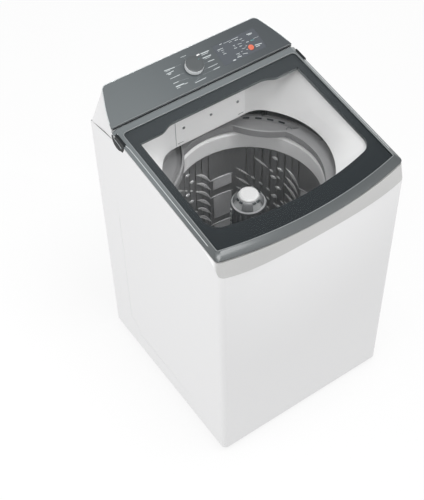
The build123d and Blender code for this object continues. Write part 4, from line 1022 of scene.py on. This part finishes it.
class WASHER_OT_basket(bpy.types.Operator):
    """The basket: balance ring and a steel wall with drain holes, fins, rows of bars and channels"""
    bl_idname = "washer.basket"
    bl_label = "Basket"

    def execute(self, context):
        edge = context.scene.washer_look.edge_width
        dress("balance_ring", "balance_ring_skin", edge * 1.5, 4, "basket", "balance_moulding")
        settle(self.wall(), "basket_wall", "basket", "drum_steel", ("basket_drum",))
        for sector in range(5):
            turn = SECTOR * sector
            # The fins and rows of bars take the bright steel as painted glints.
            for part, pieces, material in (
                    ("fins", self.fins(turn), "drum_painted_glint"), ("rows", self.rows(turn), "drum_painted_glint"),
                    # The channel's plates take the pale steel as painted reflection.
                    ("channel", self.channel(turn), "drum_plate_painted_reflection")):
                settle(join(pieces), f"basket_{part}_{sector}", "basket", material)
        return {"FINISHED"}

    def wall(self):
        """A cylinder of small faces: the middle of each one in the perforated zones is cut out."""
        around, rows, pitch, margin = 120, 30, 0.0169, 0.0048
        half_height, first, last = 0.22, 12, 61
        bpy.ops.mesh.primitive_cylinder_add(
            vertices=around, radius=drum_radius - drum_wall, depth=drum_high.z - drum_low.z,
            end_fill_type="NOTHING", location=(0, drum_axis.y, (drum_low.z + drum_high.z) / 2))
        piece = bpy.context.active_object
        edit_mode(piece)
        bpy.ops.mesh.subdivide_edgering(number_cuts=rows - 1)
        bpy.ops.mesh.select_all(action="DESELECT")
        object_mode()

        def perforated(centre):
            polar = math.degrees(math.atan2(centre.y, centre.x)) % SECTOR
            chequer = int(polar / 3) + int(round(centre.z / pitch))
            return abs(centre.z) < half_height and first < polar < last and chequer % 2 == 0

        select_faces(piece, perforated)
        bpy.ops.mesh.inset(thickness=margin, use_individual=True)
        bpy.ops.mesh.delete(type="FACE")
        object_mode()
        modifier(piece, "SOLIDIFY", thickness=drum_wall, offset=1.0)
        return modifier(smooth(piece, 30), "WEIGHTED_NORMAL", keep_sharp=True, weight=80)

    def fins(self, turn):
        """Crescent fins stacked beside the smooth channel, and a short bar beside each."""
        pieces = []
        for height in range(400, 641, 40):
            path = [
                on_drum(turn + 97 - 13 * t, height + 32 - 64 * t + 9 * math.sin(math.pi * t), FIN_REACH)
                for t in FIN_SHARES]
            pieces.append(pressed(path, crescent(FIN_SHARES, 0.0062, 0.03), height))
        for height, polar in zip(range(425, 696, 45), (101, 99, 103, 100, 104, 99, 103)):
            path = [on_drum(turn + polar + 5 * t, height + 9 * t, BAR_REACH) for t in BAR_SHARES]
            pieces.append(pressed(path, crescent(BAR_SHARES, 0.0068, 0.04), height))
        return pieces

    def rows(self, turn):
        """Diagonal rows of pressed bars that run down and away from the channel, a long one first."""
        pieces = []
        lowest, nearest = 330, 26
        for start, height in ROW_STARTS:
            for index in (0, 2, 3, 4, 5, 6):
                polar = start - 6.0 * index
                here = height - 23.0 * index
                if here < lowest or polar < nearest:
                    continue
                size, reach = (0.0036, 3.2) if index else (0.0042, 11.0)
                path = [on_drum(turn + polar - reach * t, here - reach * 3.8 * t, BAR_REACH)
                        for t in BAR_SHARES]
                pieces.append(pressed(path, crescent(BAR_SHARES, size, 0.05), here))
        return pieces

    def channel(self, turn):
        """The smooth channel: overlapping plates that lean out of the wall, each cut off on a slant."""
        columns, levels = 8, 6
        pieces = []
        for low, high, lean in ((320, 392, 0.004), (430, 530, 0.006), (571, 612, 0.004)):
            points = []
            for up in (level / levels for level in range(levels + 1)):
                for across in (column / columns for column in range(columns + 1)):
                    swell = math.sin(math.pi * min(0.98, max(0.02, across))) ** 0.5
                    height = low + (high - low) * up - 14 * (across - 0.5)
                    reach = PLATE_REACH - lean * (1 - up) * swell
                    points.append(on_drum(turn + 67 + 15 * across, height, reach))
            plate = sheet(points, columns, levels, 0.0010)
            modifier(plate, "BEVEL", width=0.0004, segments=2, limit_method="ANGLE",
                     angle_limit=math.radians(50))
            pieces.append(smooth(plate, 40))
            lip = [on_drum(turn + 66 + 19 * t, high + 4 - 14 * (t - 0.5), LIP_REACH)
                   for t in (0.0, 0.2, 0.4, 0.6, 0.8, 1.0)]
            pieces.append(pressed(lip, (0.0006, 0.0022, 0.0026, 0.0026, 0.0022, 0.0006), high, 0.8))
        return pieces


# One rib of the agitator's column: radius, height and thickness at each point, in metres.
RIB = (
    (0.0578, 0.560, 0.0008), (0.0578, 0.580, 0.0032), (0.0554, 0.700, 0.0032), (0.0548, 0.728, 0.0030),
    (0.0548, 0.738, 0.0010))
# The collar's plates: radius and height of each level, in metres.
POST_LEVELS = ((0.0478, 0.7490), (0.0485, 0.7520), (0.0395, 0.7700), (0.0350, 0.7722))
# The dark plates under the cap's rim are painted shadow in the gap between cap and collar.
SHADOW_PLATE_LEVELS = ((0.0405, 0.7690), (0.0395, 0.7706), (0.0345, 0.7726))
# The angle of the first post, in degrees.
FIRST_POST = 229


class WASHER_OT_agitator(bpy.types.Operator):
    """The agitator: ribbed column with studs, vanes and skirt, the collar with its posts, and the cap"""
    bl_idname = "washer.agitator"
    bl_label = "Agitator"

    def execute(self, context):
        edge = context.scene.washer_look.edge_width
        dress("agitator", "agitator_skin", edge * 0.3, 2, "agitator", "agitator_dark")
        ribs = []
        radii = [thick for _, _, thick in RIB]
        for polar in range(9, 360, 18):
            path = [round_drum(reach, polar, height) for reach, height, _ in RIB]
            ribs.append(leaf(path, radii, 0.8, round_drum(1.0, polar, 0.0) - drum_axis))
        settle(join(ribs), "agitator_ribs", "agitator", "agitator_grey")
        studs, size = [], (0.0050, 0.0100, 0.0110)
        for polar in range(-18, 342, 90):
            for row in range(7):
                place = round_drum(0.0590 - 0.0004 * row, polar, 0.600 + 0.021 * row)
                studs.append(add_bar(size, place, (0, 0, math.radians(polar)), 0.0016))
        settle(smooth(join(studs)), "agitator_studs", "agitator", "collar_light")
        dress("agitator_collar", "collar_skin", edge * 0.7, 3, "agitator", "collar_light")
        turns = [FIRST_POST + 90 * column for column in range(4)]
        posts = [self.plate(turn, 22, POST_LEVELS) for turn in turns]
        settle(join(posts), "collar_posts", "agitator", "agitator_grey")
        # Dark plates beside each post, painted shadow under the cap's rim.
        slots = [self.plate(turn + side, 9, SHADOW_PLATE_LEVELS) for turn in turns for side in (-33, 33)]
        settle(join(slots), "collar_shadow_plates", "agitator", "seam_shadow")
        dress("softener_cap", "softener_cap_skin", edge * 1.2, 4, "softener_cap", "cap_white")
        return {"FINISHED"}

    def plate(self, middle, half, levels):
        """A thin plate on the collar's cone, through (radius, height) levels."""
        columns = 6
        points = [round_drum(reach, middle - half + 2 * half * step / columns, height)
                  for reach, height in levels for step in range(columns + 1)]
        piece = sheet(points, columns, len(levels) - 1, 0.0016)
        return smooth(modifier(piece, "BEVEL", width=0.0005, segments=2), 40)


class WASHER_OT_feet(bpy.types.Operator):
    """The four levelling feet with ribs round them"""
    bl_idname = "washer.feet"
    bl_label = "Feet"

    def execute(self, context):
        for node in (f"foot_{end}_{side}" for end in ("front", "rear") for side in ("left", "right")):
            low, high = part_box(node)
            middle = (low + high) / 2
            reach = (high.x - low.x) / 2 - 0.0012
            ribs = [soften(node, f"{node}_skin", 0.0008, 3)]
            for angle in (math.radians(15 * index) for index in range(24)):
                place = (middle.x + reach * math.cos(angle), middle.y + reach * math.sin(angle), 0.007)
                ribs.append(add_bar((0.0030, 0.0022, 0.008), place, (0, 0, angle), 0.0006))
            settle(join(ribs), f"{node}_skin", node, "foot_moulding", (node,))
        return {"FINISHED"}


def add_light(kind, name, place, target, power, **settings):
    """A light at a place, turned to its target, with what else its data is given."""
    bpy.ops.object.light_add(type=kind, location=place)
    light = bpy.context.active_object
    light.name = name
    light.data.energy = power
    for key, value in settings.items():
        setattr(light.data, key, value)
    light.rotation_euler = (Vector(target) - Vector(place)).to_track_quat("-Z", "Y").to_euler()


class WASHER_OT_studio(bpy.types.Operator):
    """The camera, the white floor, the soft lights and the two narrow ones into the opening"""
    bl_idname = "washer.studio"
    bl_label = "Studio"

    def execute(self, context):
        studio = context.scene.washer_studio
        level = math.cos(studio.descent)
        ahead = Vector((
            level * math.sin(studio.azimuth), level * math.cos(studio.azimuth),
            -math.sin(studio.descent)))
        right = Vector((math.cos(studio.azimuth), -math.sin(studio.azimuth), 0.0))
        up = right.cross(ahead)
        across = math.cos(studio.roll) * right + math.sin(studio.roll) * up
        along = -math.sin(studio.roll) * right + math.cos(studio.roll) * up
        axes = Matrix((across, along, -ahead)).transposed().to_4x4()
        axes.translation = Vector(studio.camera_place)
        bpy.ops.object.camera_add()
        camera = bpy.context.active_object
        camera.name = "studio_camera"
        camera.matrix_world = axes
        camera.data.sensor_width = 36.0
        camera.data.lens = studio.focal_length
        camera.data.clip_end = 100.0
        context.scene.camera = camera

        world = bpy.data.worlds.new("studio_world")
        world.use_nodes = True
        surroundings = world.node_tree.nodes["Background"].inputs
        surroundings["Color"].default_value = (1.0, 1.0, 1.0, 1.0)
        surroundings["Strength"].default_value = studio.world_strength
        context.scene.world = world

        bpy.ops.mesh.primitive_plane_add(size=60.0, location=(0, 0, 0))
        floor = bpy.context.active_object
        floor.name = "studio_floor"
        pale = Finish("studio_paper", Roughness=0.95, Specular_IOR_Level=0.0, Emission_Strength=0.80)
        tone = pale.noise(3.0)
        pale.link(
            Base_Color=pale.blend(tone, (0.20, 0.20, 0.20), (0.21, 0.21, 0.21)),
            Emission_Color=pale.blend(tone, (1.0, 1.0, 1.0), (0.99, 0.99, 0.99)))
        floor.data.materials.append(pale.material)

        body, opening = (0.0, 0.0, 0.6), (0.0, -0.05, 1.01)
        for name, place, size, power in (
                ("key_light", (-3.2, 0.2, 2.4), 2.6, studio.key_power),
                ("top_light", (0.1, -0.6, 3.6), 1.0, studio.key_power * 1.2)):
            add_light("AREA", name, place, body, power, size=size)
        for name, place, power in (
                ("inner_light_right", (1.2, -1.6, 2.8), studio.inner_power),
                ("inner_light_left", (-0.9, -1.9, 3.0), studio.inner_power * 0.45)):
            add_light("SPOT", name, place, opening, power, spot_size=math.radians(10.8), spot_blend=0.35,
                      shadow_soft_size=0.40)
        context.scene.view_settings.view_transform = "Standard"
        context.scene.view_settings.look = "None"
        return {"FINISHED"}


BUILD_ORDER = (
    WASHER_OT_inner_works, WASHER_OT_cabinet, WASHER_OT_rear, WASHER_OT_top_cover, WASHER_OT_lid,
    WASHER_OT_hinge_covers, WASHER_OT_console, WASHER_OT_dial, WASHER_OT_scale_marks,
    WASHER_OT_display, WASHER_OT_button, WASHER_OT_tub_ring, WASHER_OT_basket, WASHER_OT_agitator,
    WASHER_OT_feet, WASHER_OT_studio)


class WASHER_PT_panel(bpy.types.Panel):
    """Sidebar panel with the settings and one button for each piece"""
    bl_idname = "WASHER_PT_panel"
    bl_label = "Top Load Washer"
    bl_space_type = "VIEW_3D"
    bl_region_type = "UI"
    bl_category = "Washer"

    def draw(self, context):
        for settings in (context.scene.washer_look, context.scene.washer_studio):
            box = self.layout.box()
            for name in settings.__annotations__:
                box.prop(settings, name)
        for operator in BUILD_ORDER:
            self.layout.operator(operator.bl_idname)


CLASSES = (WasherLook, WasherStudio, *BUILD_ORDER, WASHER_PT_panel)


def register():
    for made in CLASSES:
        bpy.utils.register_class(made)
    bpy.types.Scene.washer_look = bpy.props.PointerProperty(type=WasherLook)
    bpy.types.Scene.washer_studio = bpy.props.PointerProperty(type=WasherStudio)


def unregister():
    del bpy.types.Scene.washer_studio
    del bpy.types.Scene.washer_look
    for made in reversed(CLASSES):
        bpy.utils.unregister_class(made)


def main():
    register()
    for operator in BUILD_ORDER:
        group, name = operator.bl_idname.split(".")
        getattr(getattr(bpy.ops, group), name)()


if __name__ == "__main__":
    main()
